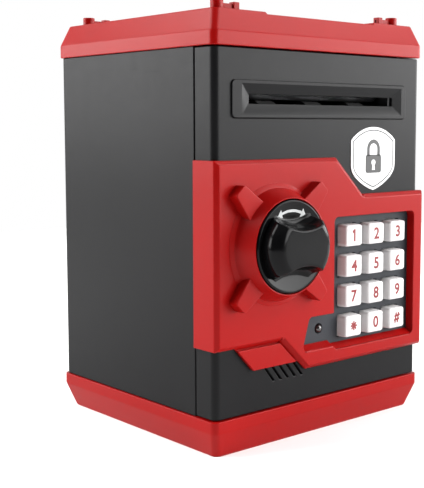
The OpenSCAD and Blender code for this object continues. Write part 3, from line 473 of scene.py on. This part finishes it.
def round_edge(height, radius, steps=4):
    """Quarter circle that turns a profile from a wall into a top: (outward shift, height) pairs."""
    a = np.linspace(0, math.pi / 2, steps + 1)
    return [(radius * (math.cos(t) - 1), height + radius * (math.sin(t) - 1)) for t in a]


def add_piece(name, part, body, slot, smooth, look=None, replaced=None):
    """Puts a part, its points in millimetres and its faces, into a mesh that rides on a body. Faces
    turn outwards, and edges sharper than `smooth` degrees stay crisp."""
    points, faces = part
    mesh = bpy.data.meshes.new(name)
    mesh.from_pydata((points * MM).tolist(), [], faces)
    work = bmesh.new()
    work.from_mesh(mesh)
    bmesh.ops.recalc_face_normals(work, faces=work.faces)
    work.to_mesh(mesh)
    work.free()
    piece = bpy.data.objects.new(name, mesh)
    bpy.context.scene.collection.objects.link(piece)
    settle(piece, body, slot, smooth, look)
    even_normals(piece)
    if replaced:
        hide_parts(replaced)


def settle(piece, body, slot, smooth, look=None):
    """Shades a piece, gives it the finish named by its slot, or by `look` where there is one,
    and lets it ride on its body."""
    mesh = piece.data
    mesh.polygons.foreach_set("use_smooth", np.ones(len(mesh.polygons), bool))
    mesh.set_sharp_from_angle(angle=math.radians(smooth))
    mesh.materials.clear()
    mesh.materials.append(finish(look or slot))
    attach(piece, body)


def even_normals(piece):
    """Lets the large faces of a piece rule the normals where they meet a rounded edge."""
    even = piece.modifiers.new("Normals", "WEIGHTED_NORMAL")
    even.mode = "FACE_AREA"
    even.weight = 100
    even.keep_sharp = True
    even.use_face_influence = bool(piece.modifiers.get("Edges"))


def joined(parts):
    """One list of points and faces out of several."""
    points, faces, start = [], [], 0
    for p, f in parts:
        points.append(p)
        faces += [[v + start for v in face] for face in f]
        start += len(p)
    return np.concatenate(points), faces


def refined(node, slot, edge, plain):
    """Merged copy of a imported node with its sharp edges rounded, which stands for the node. A plain
    one has the triangles of each flat face joined first, so that rounding can't fold a thin one."""
    source = frame["nodes"][node]
    mesh = source.data.copy()
    work = bmesh.new()
    work.from_mesh(mesh)
    bmesh.ops.remove_doubles(work, verts=work.verts, dist=2.5e-5)
    bmesh.ops.dissolve_degenerate(work, edges=work.edges, dist=2.0e-5)
    if plain:
        bmesh.ops.dissolve_limit(work, angle_limit=math.radians(0.4), verts=work.verts, edges=work.edges)
    work.to_mesh(mesh)
    work.free()
    piece = bpy.data.objects.new(node + "_skin", mesh)
    bpy.context.scene.collection.objects.link(piece)
    settle(piece, source["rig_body"], slot, 30.0)
    bevel = piece.modifiers.new("Edges", "BEVEL")
    bevel.width = edge * MM
    bevel.segments = 2
    bevel.limit_method = "ANGLE"
    bevel.angle_limit = math.radians(28.0)
    bevel.use_clamp_overlap = False
    bevel.face_strength_mode = "FSTR_ALL"
    even_normals(piece)
    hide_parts(node)


# ---- cap and base ----


def plan_grid(half_x, half_y, radius, columns, rows):
    """Grid over a rectangle with round corners. Each column runs from the front edge to the back edge
    at one x; near the ends the edge follows the corner's arc, so the outermost columns lie on the sides.
    Columns are given as x inside the straight part, rows as shares of the half depth."""
    a = np.linspace(0, math.pi / 2, 7)
    x = -half_x + radius * (1 - np.cos(a))
    depth = half_y - radius * (1 - np.sin(a))
    x = np.concatenate([x, columns, -x[::-1]])
    depth = np.concatenate([depth, np.full(len(columns), half_y), depth[::-1]])
    return np.stack([np.broadcast_to(x[:, None], (len(x), len(rows))), depth[:, None] * rows], -1)


def rim(grid):
    """The edge of a grid as one loop: front, right side, back and left side."""
    return np.concatenate([grid[:-1, 0], grid[-1, :-1], grid[:0:-1, -1], grid[0, :0:-1]])


def kept_cells(grid, keep):
    """Four-sided faces of a grid of points, where keep says which cells are there."""
    columns, rows = grid.shape[:2]
    i, j = np.nonzero(keep)
    return np.stack([i * rows + j, (i + 1) * rows + j, (i + 1) * rows + j + 1, i * rows + j + 1], -1)


def slotted_block(levels, columns, rows, halves, height):
    """Closed block with a slot straight through it. Its side carries the rim of the plan through levels
    of (inset, radius, z); its top and bottom are plan grids without the slot's cells, and the slot's
    walls join them. `halves` are half the block's and half the slot's sides in x and y. `height` gives
    the top's z at a point and never lets the side stand above it."""
    half_x, half_y, slot_x, slot_y = halves
    share = np.sort(np.concatenate([rows, [-slot_y / half_y, slot_y / half_y]]))

    def flat(inset, radius):
        near = np.clip(share * half_y / (half_y - inset), -1, 1)
        return plan_grid(half_x - inset, half_y - inset, radius, columns, near)

    def raised(xy, z):
        return np.concatenate([xy, np.minimum(z, height(xy))[..., None]], -1)

    loops = np.stack([raised(rim(flat(i, r)), z) for i, r, z in levels])
    parts = [(loops.reshape(-1, 3), walls(*loops.shape[:2]))]
    holes = []
    for inset, radius, z in (levels[-1], levels[0]):
        grid = flat(inset, radius)
        middle = (grid[:-1, :-1] + grid[1:, 1:]) / 2
        inside = (np.abs(middle[..., 0]) < slot_x) & (np.abs(middle[..., 1]) < slot_y)
        shaped = raised(grid, z)
        parts.append((shaped.reshape(-1, 3), kept_cells(shaped, ~inside).tolist()))
        i, k = np.nonzero(inside)
        holes.append(rim(shaped[i.min():i.max() + 2, k.min():k.max() + 2]))
    ring = np.stack(holes)
    parts.append((ring.reshape(-1, 3), walls(*ring.shape[:2])))
    return joined(parts)


def post(corners, z0, z1):
    """Upright block over a rectangle, with round corners and a round top edge."""
    return stack(risen(rounded(corners, 0.4, 5), [(0, z0)] + round_edge(z1, 0.25, 3)))


def mirrored(part, sx, sy):
    """A part turned over in x or y by signs."""
    points, faces = part
    return points * (sx, sy, 1), faces


def tube(x, y, outer, inner, z0, z1):
    """Upright tube about a point."""
    points, faces = turned_ring(rectangle(inner, outer, z0, z1), 40)
    return points + (x, y, 0), faces


# ---- knob, ring, keys and badge ----


def on_face(part, x, z, face):
    """A part in local (across, up, forwards) terms, placed on the door: forwards is towards -Y."""
    p, faces = part
    return np.stack([x + p[:, 0], -(face + p[:, 2]), z + p[:, 1]], -1), faces


def knob_rings(size):
    """Levels of the turning knob, from the middle of its grip out and down to its back.

    A ray at angle a leaves the middle. It meets the waist where a circle of radius R - d, centred c
    above or below, cuts it: c sin a - sqrt(c^2 sin^2 a - c^2 + (R - d)^2). It meets the grip's end at
    a radius that falls away in a quarter circle. A high power mean of the two rounds their corner.
    The side sweeps from the waist to the dish in a quarter of a hollow ellipse, and the dish rises as
    the square of the radius to the rim."""
    around = 176
    a = np.arange(around) * 2 * math.pi / around
    whole = np.ones(around)
    top, rim_h, rim_r, back = size["top"], size["rim"], size["radius"], size["back"]
    scoop, offset = KNOB["scoop"], KNOB["scoop"] + size["waist"]
    edge, lip, flare = KNOB["edge"], KNOB["lip"], KNOB["flare"]
    fillet = KNOB["end"] - KNOB["flat"]
    far, power, below_top = 1e3, 26.0, top - 0.02

    def dish(r):
        return rim_h - KNOB["bowl"] * (1 - np.minimum(r / (rim_r - lip), 1) ** 2)

    def reach(d, h):
        s = np.abs(np.sin(a))
        inside = offset**2 * s**2 - offset**2 + (scoop - d) ** 2
        side = np.where(inside > 0, offset * s - np.sqrt(np.maximum(inside, 0)), far)
        side = np.where(side > 0, side, far)
        lift = np.clip(h - (top - fillet), 0, fillet)
        end = KNOB["flat"] + np.sqrt(np.maximum(fillet**2 - lift**2, 0))
        return (side**-power + end**-power) ** (-1 / power)

    # Flat top of the grip, its round edge, and the sweep of its sides down to the dish
    crown = reach(edge, whole * below_top) - edge
    rings = [(crown * k, whole * top) for k in (0.25, 0.5, 0.75, 0.9)]
    for t in np.linspace(0, 1, 6):
        h = whole * (top - edge * (1 - math.cos(t * math.pi / 2)))
        rings.append((reach(edge * math.sin(t * math.pi / 2), np.minimum(h, below_top)), h))
    foot_r = reach(whole * flare, whole * (rim_h - 1))
    foot_h = dish(foot_r)
    for t in np.linspace(0.03, 1, 20):
        h = foot_h + (top - edge - foot_h) * (1 - np.sqrt(1 - (1 - t) ** 2))
        rings.append((reach(edge + (flare - edge) * t, h), h))
    # Dish, lip, side and back of the disc
    for t in np.linspace(0.12, 1, 8):
        r = foot_r + (rim_r - lip - foot_r) * t
        rings.append((r, dish(r)))
    for t in np.linspace(0.2, 1, 5) * math.pi / 2:
        rings.append((whole * (rim_r - lip + lip * math.sin(t)), whole * (rim_h - lip + lip * math.cos(t))))
    soft = KNOB["back_edge"]
    for r, h in ((rim_r, rim_h - KNOB["side"]), (rim_r, back + soft), (rim_r - soft, back),
                 (KNOB["spindle"], back)):
        rings.append((whole * r, whole * h))
    return np.stack([np.stack([r * np.cos(a), r * np.sin(a), h], -1) for r, h in rings]), dish


def turned_ring(profile, around):
    """Closed ring: a profile of (radius, height) pairs carried round the axis."""
    a = np.arange(around) * 2 * math.pi / around
    r, h = np.array(profile, float).T
    rows = np.stack([r[:, None] * np.cos(a), r[:, None] * np.sin(a), np.broadcast_to(h[:, None],
                    (len(r), around))], -1)
    return band(rows)


def arm(angle, inner, outer, wide, narrow, height, edge):
    """Tapered bar that points away from the middle at an angle: a rounded outline carried up its wall,
    over its edge and across its top, then turned about the middle."""
    line = rounded([(inner, -wide), (outer, -narrow), (outer, narrow), (inner, wide)],
                   [0.6, 1.1, 1.1, 0.6])
    points, faces = stack(risen(line, [(0, 0)] + round_edge(height, edge)))
    c, s = math.cos(angle), math.sin(angle)
    return points @ np.array([[c, s, 0], [-s, c, 0], [0, 0, 1]]), faces


def printed_strip(path, width, lift, closed=False):
    """Thin raised print along a path of (x, z) points: each point is moved to both sides of the path by
    half the width along its normal, and the section is a flat box `lift` thick."""
    p = np.array(path, float)
    along = unit(np.roll(p, -1, 0) - np.roll(p, 1, 0) if closed else np.gradient(p, axis=0))
    side = np.stack([-along[:, 1], along[:, 0]], -1) * width / 2
    left, right = p - side, p + side
    low, high = np.zeros((len(p), 1)), np.full((len(p), 1), lift)
    rows = np.stack([np.hstack([left, low]), np.hstack([left, high]), np.hstack([right, high]),
                     np.hstack([right, low])])
    if closed:
        return band(rows)
    return stack(np.swapaxes(rows, 0, 1))


def printed_shape(line, lift):
    """Thin raised print that fills an outline."""
    return stack(risen(line, [(0, 0), (0, lift)]))


def arc(radius, start, stop, count=40, centre=(0.0, 0.0)):
    """Points along a circle between two angles in degrees."""
    a = np.radians(np.linspace(start, stop, count))
    return np.stack([centre[0] + radius * np.cos(a), centre[1] + radius * np.sin(a)], -1)


def flat_mark(text, height):
    """One printed figure, centred and `height` millimetres tall, from the outline of a plain font with
    its strokes made a little heavier."""
    curve = bpy.data.curves.new("mark", "FONT")
    curve.body = text
    curve.offset = 0.03
    curve.resolution_u = 6
    curve.extrude = 0.01
    holder = bpy.data.objects.new("mark", curve)
    bpy.context.scene.collection.objects.link(holder)
    bpy.context.view_layer.update()
    made = bpy.data.meshes.new_from_object(holder.evaluated_get(bpy.context.evaluated_depsgraph_get()))
    bpy.data.objects.remove(holder)
    bpy.data.curves.remove(curve)
    co = np.empty(len(made.vertices) * 3)
    made.vertices.foreach_get("co", co)
    co = co.reshape(-1, 3)
    low, high = co.min(0), co.max(0)
    co = co - (low + high) / 2
    co[:, :2] *= height / (high - low)[1]
    co[:, 2] = np.where(co[:, 2] > 0, PRINT["lift"] - PRINT["sink"], -PRINT["sink"])
    faces = [list(p.vertices) for p in made.polygons]
    bpy.data.meshes.remove(made)
    return co, faces


def own_mark(tag, height):
    """Star, hash and one out of straight strips: (x, z) ends as shares of half the height. Each strip
    stands a hair above the last, so that no two tops lie in one plane where they cross."""
    strips = {
        "star": [arc(0.78, t, t + 180, 2) for t in (0, 45, 90, 135)],
        "hash": [[(-0.46, -0.9), (-0.14, 0.9)], [(0.14, -0.9), (0.46, 0.9)],
                 [(-0.72, -0.42), (0.66, -0.22)], [(-0.60, 0.26), (0.78, 0.46)]],
        "1": [[(0.0, -1.0), (0.0, 1.0)], [(-0.46, 0.52), (0.08, 0.90)]],
    }.get(tag)
    if not strips:
        return None
    width = {"1": 1.15, "star": 0.85, "hash": 0.95}[tag]
    points, faces = joined([printed_strip(np.array(ends) * height / 2, width, PRINT["lift"] + 0.01 * k)
                            for k, ends in enumerate(strips)])
    return points - (0, 0, PRINT["sink"]), faces


# ---- settings ----


def colour(name, description, default):
    """A colour setting."""
    return bpy.props.FloatVectorProperty(name=name, description=description, default=default,
                                         subtype="COLOR", size=3, min=0.0, max=1.0)


def length(name, description, default):
    """A length setting, in metres."""
    return bpy.props.FloatProperty(name=name, description=description, default=default * MM,
                                   min=0.0, unit="LENGTH", precision=5)


class ToySafePaint(bpy.types.PropertyGroup):
    """Colours of the safe."""

    red: colour("Red", "Cap, base and door panel", screen(138, 9, 8))
    dark: colour("Dark", "Walls and the upper door", screen(19, 19, 20))
    knob: colour("Knob", "Turning knob", screen(8, 8, 9))
    key: colour("Keys", "Body of the keys", screen(206, 204, 204))
    keypad: colour("Keypad", "Plate behind the keys", screen(50, 52, 56))
    badge: colour("Badge", "Shield on the door", screen(210, 210, 210))
    figure: colour("Figures", "Figures on the keys", screen(118, 8, 14))


class ToySafeSizes(bpy.types.PropertyGroup):
    """Sizes of the details that the finished surfaces add."""

    case_edge: length("Case edge", "Rounding of the casing's edges", 0.35)
    key_edge: length("Key edge", "Rounding of a key's front", 1.0)
    figure: length("Figure", "Height of a figure on a key", 5.5)
    knob_waist: length("Knob waist", "Half the thickness of the grip at its middle", 6.7)
    arm_edge: length("Arm edge", "Rounding of the four arms round the knob", 0.45)


def sizes():
    """The size settings, in millimetres."""
    s = bpy.context.scene.toy_safe_sizes
    return {"case_edge": s.case_edge / MM, "key_edge": s.key_edge / MM, "figure": s.figure / MM,
            "waist": s.knob_waist / MM, "arm_edge": s.arm_edge / MM}


# ---- operators ----


class TOYSAFE_OT_studio(bpy.types.Operator):
    """Pale floor, soft studio lights and the camera"""

    bl_idname = "toysafe.studio"
    bl_label = "Studio"

    def execute(self, context):
        scene = context.scene
        scene.view_settings.view_transform = "Standard"
        self.floor()
        self.sky(scene)
        for box in SOFTBOXES:
            self.softbox(*box)
        self.camera(scene)
        return {"FINISHED"}

    def floor(self):
        corners = rectangle(-FLOOR_HALF, FLOOR_HALF, -FLOOR_HALF, FLOOR_HALF)
        mesh = bpy.data.meshes.new("floor")
        mesh.from_pydata([(x, y, 0) for x, y in corners], [], [(0, 1, 2, 3)])
        floor = bpy.data.objects.new("floor", mesh)
        bpy.context.scene.collection.objects.link(floor)
        f = Finish("floor_paper", **{"Specular IOR Level": 0.2})
        f.set(Base_Color=f.blend((0.90, 0.90, 0.90), (0.94, 0.94, 0.94), f.noise(60.0)), Roughness=0.8)
        mesh.materials.append(f.material)

    def sky(self, scene):
        """Bright beyond the object and dim on the camera's side, as in a tent with one open wall: the
        glows are smooth ramps of a direction's lean. The backdrop that the camera sees straight is an
        even white."""
        scene.world = bpy.data.worlds.new("studio")
        g = Graph(scene.world)
        way = g.node("ShaderNodeTexCoord").outputs["Generated"]

        def lean(towards, low, high):
            dot = g.node("ShaderNodeVectorMath", {"operation": "DOT_PRODUCT"}, {0: way, 1: towards})
            return g.between(dot.outputs["Value"], low, high, "SMOOTHSTEP")

        beyond, overhead = lean((0.665, 0.747, 0.25), -0.25, 0.75), lean((0.0, 0.0, 1.0), 0.35, 0.80)
        glow = SKY["dim"] + beyond * (SKY["beyond"] - SKY["dim"])
        glow = glow + overhead * (SKY["overhead"] - glow)
        backdrop = Field(g, g.node("ShaderNodeLightPath").outputs["Is Camera Ray"])
        glow = glow + backdrop * (SKY["backdrop"] - glow)
        light = g.node("ShaderNodeBackground", {}, {"Color": (1.0, 1.0, 1.0), "Strength": glow})
        g.node("ShaderNodeOutputWorld", {}, {"Surface": light.outputs[0]})

    def softbox(self, name, azimuth, elevation, away, sides, power):
        data = bpy.data.lights.new(name, "AREA")
        data.shape = "RECTANGLE"
        data.size, data.size_y = sides
        data.energy = power
        self.aimed(name, data, (0, 0, 0.10), heading(azimuth, elevation), away)

    def camera(self, scene):
        data = bpy.data.cameras.new("camera")
        data.sensor_width = CAMERA["sensor"]
        data.lens = CAMERA["lens"]
        data.shift_x, data.shift_y = CAMERA["shift"]
        data.clip_start = 0.01
        data.clip_end = 50.0
        back = heading(CAMERA["azimuth"], CAMERA["elevation"])
        scene.camera = self.aimed("camera", data, CAMERA["target"], back, CAMERA["away"])

    def aimed(self, name, data, target, back, away):
        """Puts a light or camera at a distance from its target, looking at it."""
        made = bpy.data.objects.new(name, data)
        made.location = Vector(target) + back * away
        made.rotation_mode = "QUATERNION"
        made.rotation_quaternion = (-back).to_track_quat("-Z", "Y")
        bpy.context.scene.collection.objects.link(made)
        return made


class TOYSAFE_OT_finishes(bpy.types.Operator):
    """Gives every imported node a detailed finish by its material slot"""

    bl_idname = "toysafe.finishes"
    bl_label = "Finishes"

    def execute(self, context):
        for node, piece in frame["nodes"].items():
            for place in piece.material_slots:
                name = place.material.name.split(".")[0] if place.material else ""
                if name not in FINISH_NAMES:
                    raise RuntimeError(f"{node} has no finish for {name!r}")
                place.material = finish(name)
        return {"FINISHED"}


class TOYSAFE_OT_casing(bpy.types.Operator):
    """Casing, cap, base and door with their moulded edges rounded"""

    bl_idname = "toysafe.casing"
    bl_label = "Casing"

    def execute(self, context):
        edge = sizes()["case_edge"]
        thin = edge * 0.6
        for node, slot, width, plain in (
            ("body_shell", "dark_plastic", edge, True), ("bottom_plate", "red_plastic", thin, False),
            ("front_shell", "dark_plastic", edge, True), ("door_panel", "red_plastic", edge, True),
            ("keypad_plate", "keypad_grey", thin, False), ("inner_cover", "dark_plastic", edge, True),
            ("battery_cover", "red_plastic", thin, False),
        ):
            refined(node, slot, width, plain)
        self.cap()
        self.base()
        return {"FINISHED"}

    def cap(self):
        """Block with a coin slot and a shallow channel, and its four lugs. Levels are (inset, corner
        radius, z): the foot's edge, the band, the kink, the slope and the round edge of the top."""
        low, high = box_mm("top_cap")
        half_x, half_y = high[0], high[1]
        foot, top = low[2], high[2] - LUG["height"]
        kink, inset, corner, dip = foot + CAP["band"], CAP["inset"], CAP["corner"], CAP["dip"]
        slope = inset / (top - kink)
        levels = [(0.5, corner - 0.5, foot), (0.12, corner - 0.1, foot + 0.12), (0.0, corner, foot + 0.4),
                  (0.0, corner, kink - 0.5), (0.06, corner, kink + 0.1), (slope * 0.7, corner, kink + 0.7)]
        levels += [((z - kink) * slope, corner, z) for z in (top - 3.0, top - dip)]
        levels += [(inset + 0.30 * t - 0.18 * (1 - t), corner - 0.1, top - 0.55 * (1 - t) ** 1.8)
                   for t in (0.0, 0.35, 0.7)]
        levels.append((inset + 0.75, corner - 0.4, top))

        wide, bank, beyond = CAP["channel"] / 2, CAP["bank"], 14.0
        slot_x, slot_y = CAP["slot_x"] / 2, CAP["slot_y"] / 2

        def height(xy):
            far = np.abs(xy[..., 0]) - wide
            return top - dip * (1 - np.clip(far / bank, 0, 1) ** 0.8)

        # Columns of the top: the slot's end, the channel's bank and one beyond it
        right = np.array([slot_x, wide, wide + bank / 2, wide + bank, wide + beyond])
        columns = np.concatenate([-right[::-1], [0.0], right])
        parts = [slotted_block(levels, columns, np.linspace(-1, 1, 9), (half_x, half_y, slot_x, slot_y),
                               height)]
        lug = self.lug(half_x - inset - LUG["margin"], half_y - inset - LUG["margin"], top, high[2])
        parts += [mirrored(part, sx, sy) for sx in (-1, 1) for sy in (-1, 1) for part in lug]
        add_piece("cap_skin", joined(parts), "case", "red_plastic", 33.0, replaced="top_cap")

    def lug(self, x, y, floor, top):
        """Round boss about a point, its arm towards the middle and the arm's wider foot."""
        root, half, end, foot = floor - LUG["root"], LUG["arm_w"] / 2, x - LUG["arm"], LUG["foot"]
        turned = arc(LUG["boss"], 0, 360, 33)[:-1] + (x, y)
        return [stack(risen(turned, [(0, root)] + round_edge(top, 0.3, 3))),
                post(rectangle(end, x, y - half, y + half), root, top - LUG["arm_step"]),
                post(rectangle(end, end + foot, y - foot / 2, y + foot / 2), root, top - LUG["foot_step"])]

    def base(self):
        """Tray carried round its plan. Its profile of (inset, corner radius, z) goes up the slope, the
        kink and the band, over the top and its opening, and down the inside."""
        half_x, half_y, top = box_mm("base_tray")[1]
        kink, inset, wall, corner = top - BASE["band"], BASE["inset"], BASE["wall"], BASE["corner"]
        opening, soft = BASE["opening"], corner / 2
        slope = inset / kink
        profile = [(inset + 0.25, corner - 0.1, 0.0), (inset - 0.02, corner, 0.25)]
        profile += [((kink - z) * slope, corner, z) for z in (1.0, kink - 0.7)]
        profile += [(0.04, corner, kink - 0.1), (0.0, corner, kink + 0.5), (0.0, corner, top - 0.4),
                    (0.12, corner - 0.1, top - 0.12), (0.45, corner - 0.4, top)]
        profile += [(opening, 1.0, top), (opening, 1.0, top - wall), (wall, soft, top - wall),
                    (wall, soft, kink), (inset + wall, soft, 0.0)]
        rows = []
        for shift, radius, z in profile:
            x, y = half_x - shift, half_y - shift
            line = rounded(rectangle(-x, x, -y, y), radius, 9)
            rows.append(np.concatenate([line, np.full((len(line), 1), z)], 1))
        parts = [band(np.stack(rows))]
        parts += [tube(x, y, SCREW["tube"], SCREW["bore"], SCREW["floor"], top - wall)
                  for x, y in screw_places()]
        add_piece("base_skin", joined(parts), "case", "red_plastic", 33.0, replaced="base_tray")


class TOYSAFE_OT_knob(bpy.types.Operator):
    """Turning knob with its waisted grip, the coned ring and its four arms, and the turn arrow"""

    bl_idname = "toysafe.knob"
    bl_label = "Knob"

    def execute(self, context):
        s = sizes()
        low, high = box_mm("knob")
        ring_low, ring_high = box_mm("knob_ring")
        x, z = (low[0] + high[0]) / 2, (low[2] + high[2]) / 2
        face = -ring_high[1]
        radius = (high[0] - low[0]) / 2
        ring_h = -ring_low[1] - face
        self.ring(x, z, face, radius, ring_h, s["arm_edge"])
        size = {"top": -low[1] - face, "rim": ring_h + RING["gap"], "radius": radius,
                "waist": s["waist"], "back": -high[1] - face}
        rings, dish = knob_rings(size)
        grip = on_face(stack(rings), x, z, face)
        add_piece("knob_grip", grip, "knob", "black_gloss", 50.0, replaced="knob")
        self.arrow(x, z, face, dish)
        return {"FINISHED"}

    def ring(self, x, z, face, radius, ring_h, edge):
        """Cone that ends in a round lip, from (radius, height) pairs: its foot, its flank, the lip, the
        bore and the floor's hole. Four arms point to the corners."""
        bore, foot, step, hole = radius + RING["gap"], radius + RING["foot"], RING["step"], RING["hole"]
        round_r = RING["lip"] / 2
        side = ring_h - round_r
        lip = [(bore + round_r + round_r * math.cos(t), side + round_r * math.sin(t))
               for t in np.linspace(0, math.pi, 5)]
        profile = [(foot, 0.0), (foot, 0.12), (foot - 1.2, 0.55), (foot - 2.0, step),
                   (foot - 2.25, step + 0.5)] + lip + [(bore, step), (hole, step), (hole, 0.0)]
        arms = [arm(angle, RING["arm_start"], radius + RING["arm_reach"], RING["arm_wide"],
                    RING["arm_narrow"], RING["arm_h"], edge) for angle in np.radians((45, 135, 225, 315))]
        collar = on_face(joined([turned_ring(profile, 144)] + arms), x, z, face)
        add_piece("knob_collar", collar, "door", "red_plastic", 34.0, replaced="knob_ring")

    def arrow(self, x, z, face, dish):
        """Arc with a three-cornered head at each end, laid on the dish. The heads' sides have points
        between their corners, so that they follow its curve."""
        middle, half, end, lift = ARROW["radius"], ARROW["half_head"], ARROW["end"], 0.06
        parts = [printed_strip(arc(middle, 90 - end, 90 + end, 28), ARROW["width"], lift)]
        for sign in (-1, 1):
            a = np.radians([90 - sign * ARROW["tip"], 90 - sign * end, 90 - sign * end])
            reach = np.array([middle, middle + half, middle - half])
            head = np.stack([reach * np.cos(a), reach * np.sin(a)], -1)[:, None]
            t = np.linspace(0, 1, 6)[:-1, None]
            sides = head * (1 - t) + np.roll(head, -1, 0) * t
            parts.append(printed_shape(sides.reshape(-1, 2), lift))
        points, faces = joined(parts)
        points[:, 2] += dish(np.hypot(points[:, 0], points[:, 1])) - PRINT["sink"]
        arrow = on_face((points, faces), x, z, face)
        add_piece("turn_arrow", arrow, "knob", "print_white", 30.0, look="figure_grey")


class TOYSAFE_OT_keys(bpy.types.Operator):
    """Twelve keys with rounded fronts, each with its printed figure"""

    bl_idname = "toysafe.keys"
    bl_label = "Keys"

    def execute(self, context):
        s = sizes()
        for tag, text in KEY_TEXT.items():
            node = "key_" + tag
            body = frame["nodes"][node]["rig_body"]
            low, high = box_mm(node)
            x, _, z = (low + high) / 2
            self.key(node, body, low, high, x, z, s["key_edge"])
            mark = own_mark(tag, s["figure"]) or flat_mark(text, s["figure"])
            mark = on_face(mark, x, z + KEY["figure_up"], -low[1])
            add_piece(node + "_figure", mark, body, "red_plastic", 30.0, look="figure_red")
        return {"FINISHED"}

    def key(self, node, body, low, high, x, z, edge):
        """Flange, a wall that leans in by its draft, and a round edge, all round one outline."""
        front, back, draft = -low[1], -high[1], KEY["draft"]
        half_x, half_z = KEY["half_x"], KEY["half_z"]
        line = rounded(rectangle(x - half_x, x + half_x, z - half_z, z + half_z), KEY["corner"], 7)
        grow = min(high[0] - x - half_x, high[2] - z - half_z)
        profile = [(grow, back), (grow, back + KEY["flange"]), (0.0, back + KEY["flange"]),
                   (0.0, front - KEY["wall"]), (-draft, front - edge)]
        profile += [(shift - draft, h) for shift, h in round_edge(front, edge, 5)][1:]
        add_piece(node + "_cap", stack(carried(line, profile)), body, "key_white", 40.0, replaced=node)


class TOYSAFE_OT_badge(bpy.types.Operator):
    """White shield with a border line and a padlock"""

    bl_idname = "toysafe.badge"
    bl_label = "Badge"

    def execute(self, context):
        low, high = box_mm("emblem_plate")
        x, half = (low[0] + high[0]) / 2, (high[0] - low[0]) / 2
        z, face = (low[2] + high[2]) / 2 + SHIELD["raise"], -low[1]
        line = self.outline(x, half, low[2], high[2])
        plate = stack(carried(line, [(0, -high[1])] + round_edge(face, SHIELD["edge"], 2)))
        add_piece("badge_plate", plate, "door", "print_white", 30.0, replaced="emblem_plate")
        inner = line - outward(line) * SHIELD["border_in"]
        border = printed_strip(inner, SHIELD["border_w"], PRINT["lift"], closed=True)
        self.printed("badge_print", [border] + self.padlock(x, z), face - PRINT["sink"], "figure_black")
        self.printed("badge_keyhole", self.keyhole(x, z), face + PRINT["sink"], None)
        return {"FINISHED"}

    def printed(self, name, parts, face, look):
        """Print that stands forwards from a face of the door."""
        add_piece(name, on_face(joined(parts), 0, 0, face), "door", "print_white", 30.0, look=look)

    def outline(self, x, half, foot, crown):
        """Shield: an arched top, upright sides and two curves that meet in a point at the foot, where
        the half width goes as a power of the cosine."""
        rise = SHIELD["rise"]
        radius = (half**2 + rise**2) / (2 * rise)
        sweep = math.degrees(math.asin(half / radius))
        top = arc(radius, 90 - sweep, 90 + sweep, 24, (x, crown - radius))
        shoulder = crown - rise
        waist = foot + (shoulder - foot) * SHIELD["sides"]
        t = np.linspace(0, 1, 18)[1:, None]
        left = np.hstack([x - half * np.cos(t * math.pi / 2) ** 0.8, waist + (foot - waist) * t**0.9])
        right = left[::-1][1:] * (-1, 1) + (2 * x, 0)
        start = np.array([[x - half, shoulder - 0.4], [x - half, waist]])
        end = start[::-1] + (2 * half, 0)
        return np.concatenate([top, start, left, right, end])

    def padlock(self, x, z):
        """Padlock's body as a rounded block, and its shackle as a half ring on two legs."""
        half, foot, across = PADLOCK["half_w"], z - PADLOCK["foot"], PADLOCK["shackle"]
        top = foot + PADLOCK["tall"]
        body = rounded(rectangle(x - half, x + half, foot, top), PADLOCK["corner"])
        bow = arc(across, 0, 180, 22, (x, top + PADLOCK["leg"]))
        legs = np.concatenate([[[x + across, top - 0.5]], bow, [[x - across, top - 0.5]]])
        return [printed_shape(body, PRINT["lift"]),
                printed_strip(legs, PADLOCK["shackle_w"], PRINT["lift"])]

    def keyhole(self, x, z):
        """Round hole over a tapered stem, which lies a hair lower where the two cross."""
        z, foot, neck = z - KEYHOLE["drop"], KEYHOLE["foot"], KEYHOLE["neck"]
        hole = arc(KEYHOLE["radius"], 0, 360, 25, (x, z))[:-1]
        low = z - KEYHOLE["stem"]
        stem = np.array([[x - foot, low], [x + foot, low], [x + neck, z], [x - neck, z]])
        return [printed_shape(hole, PRINT["lift"]), printed_shape(stem, PRINT["lift"] - 0.005)]


class TOYSAFE_PT_panel(bpy.types.Panel):
    """Lists the steps that dress the safe"""

    bl_idname = "TOYSAFE_PT_panel"
    bl_label = "Toy safe"
    bl_space_type = "VIEW_3D"
    bl_region_type = "UI"
    bl_category = "Toy safe"

    def draw(self, context):
        for settings in (context.scene.toy_safe_paint, context.scene.toy_safe_sizes):
            for name in settings.bl_rna.properties.keys():
                if name not in ("rna_type", "name"):
                    self.layout.prop(settings, name)
        for step in STEPS:
            self.layout.operator(step.bl_idname)


STEPS = (TOYSAFE_OT_studio, TOYSAFE_OT_finishes, TOYSAFE_OT_casing, TOYSAFE_OT_knob, TOYSAFE_OT_keys,
         TOYSAFE_OT_badge)
CLASSES = (ToySafePaint, ToySafeSizes, *STEPS, TOYSAFE_PT_panel)


def register():
    for made in CLASSES:
        bpy.utils.register_class(made)
    bpy.types.Scene.toy_safe_paint = bpy.props.PointerProperty(type=ToySafePaint)
    bpy.types.Scene.toy_safe_sizes = bpy.props.PointerProperty(type=ToySafeSizes)


def unregister():
    del bpy.types.Scene.toy_safe_sizes
    del bpy.types.Scene.toy_safe_paint
    for made in reversed(CLASSES):
        bpy.utils.unregister_class(made)


def main():
    """Registers the add-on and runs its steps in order."""
    register()
    bpy.ops.toysafe.studio()
    bpy.ops.toysafe.finishes()
    bpy.ops.toysafe.casing()
    bpy.ops.toysafe.knob()
    bpy.ops.toysafe.keys()
    bpy.ops.toysafe.badge()


if __name__ == "__main__":
    main()
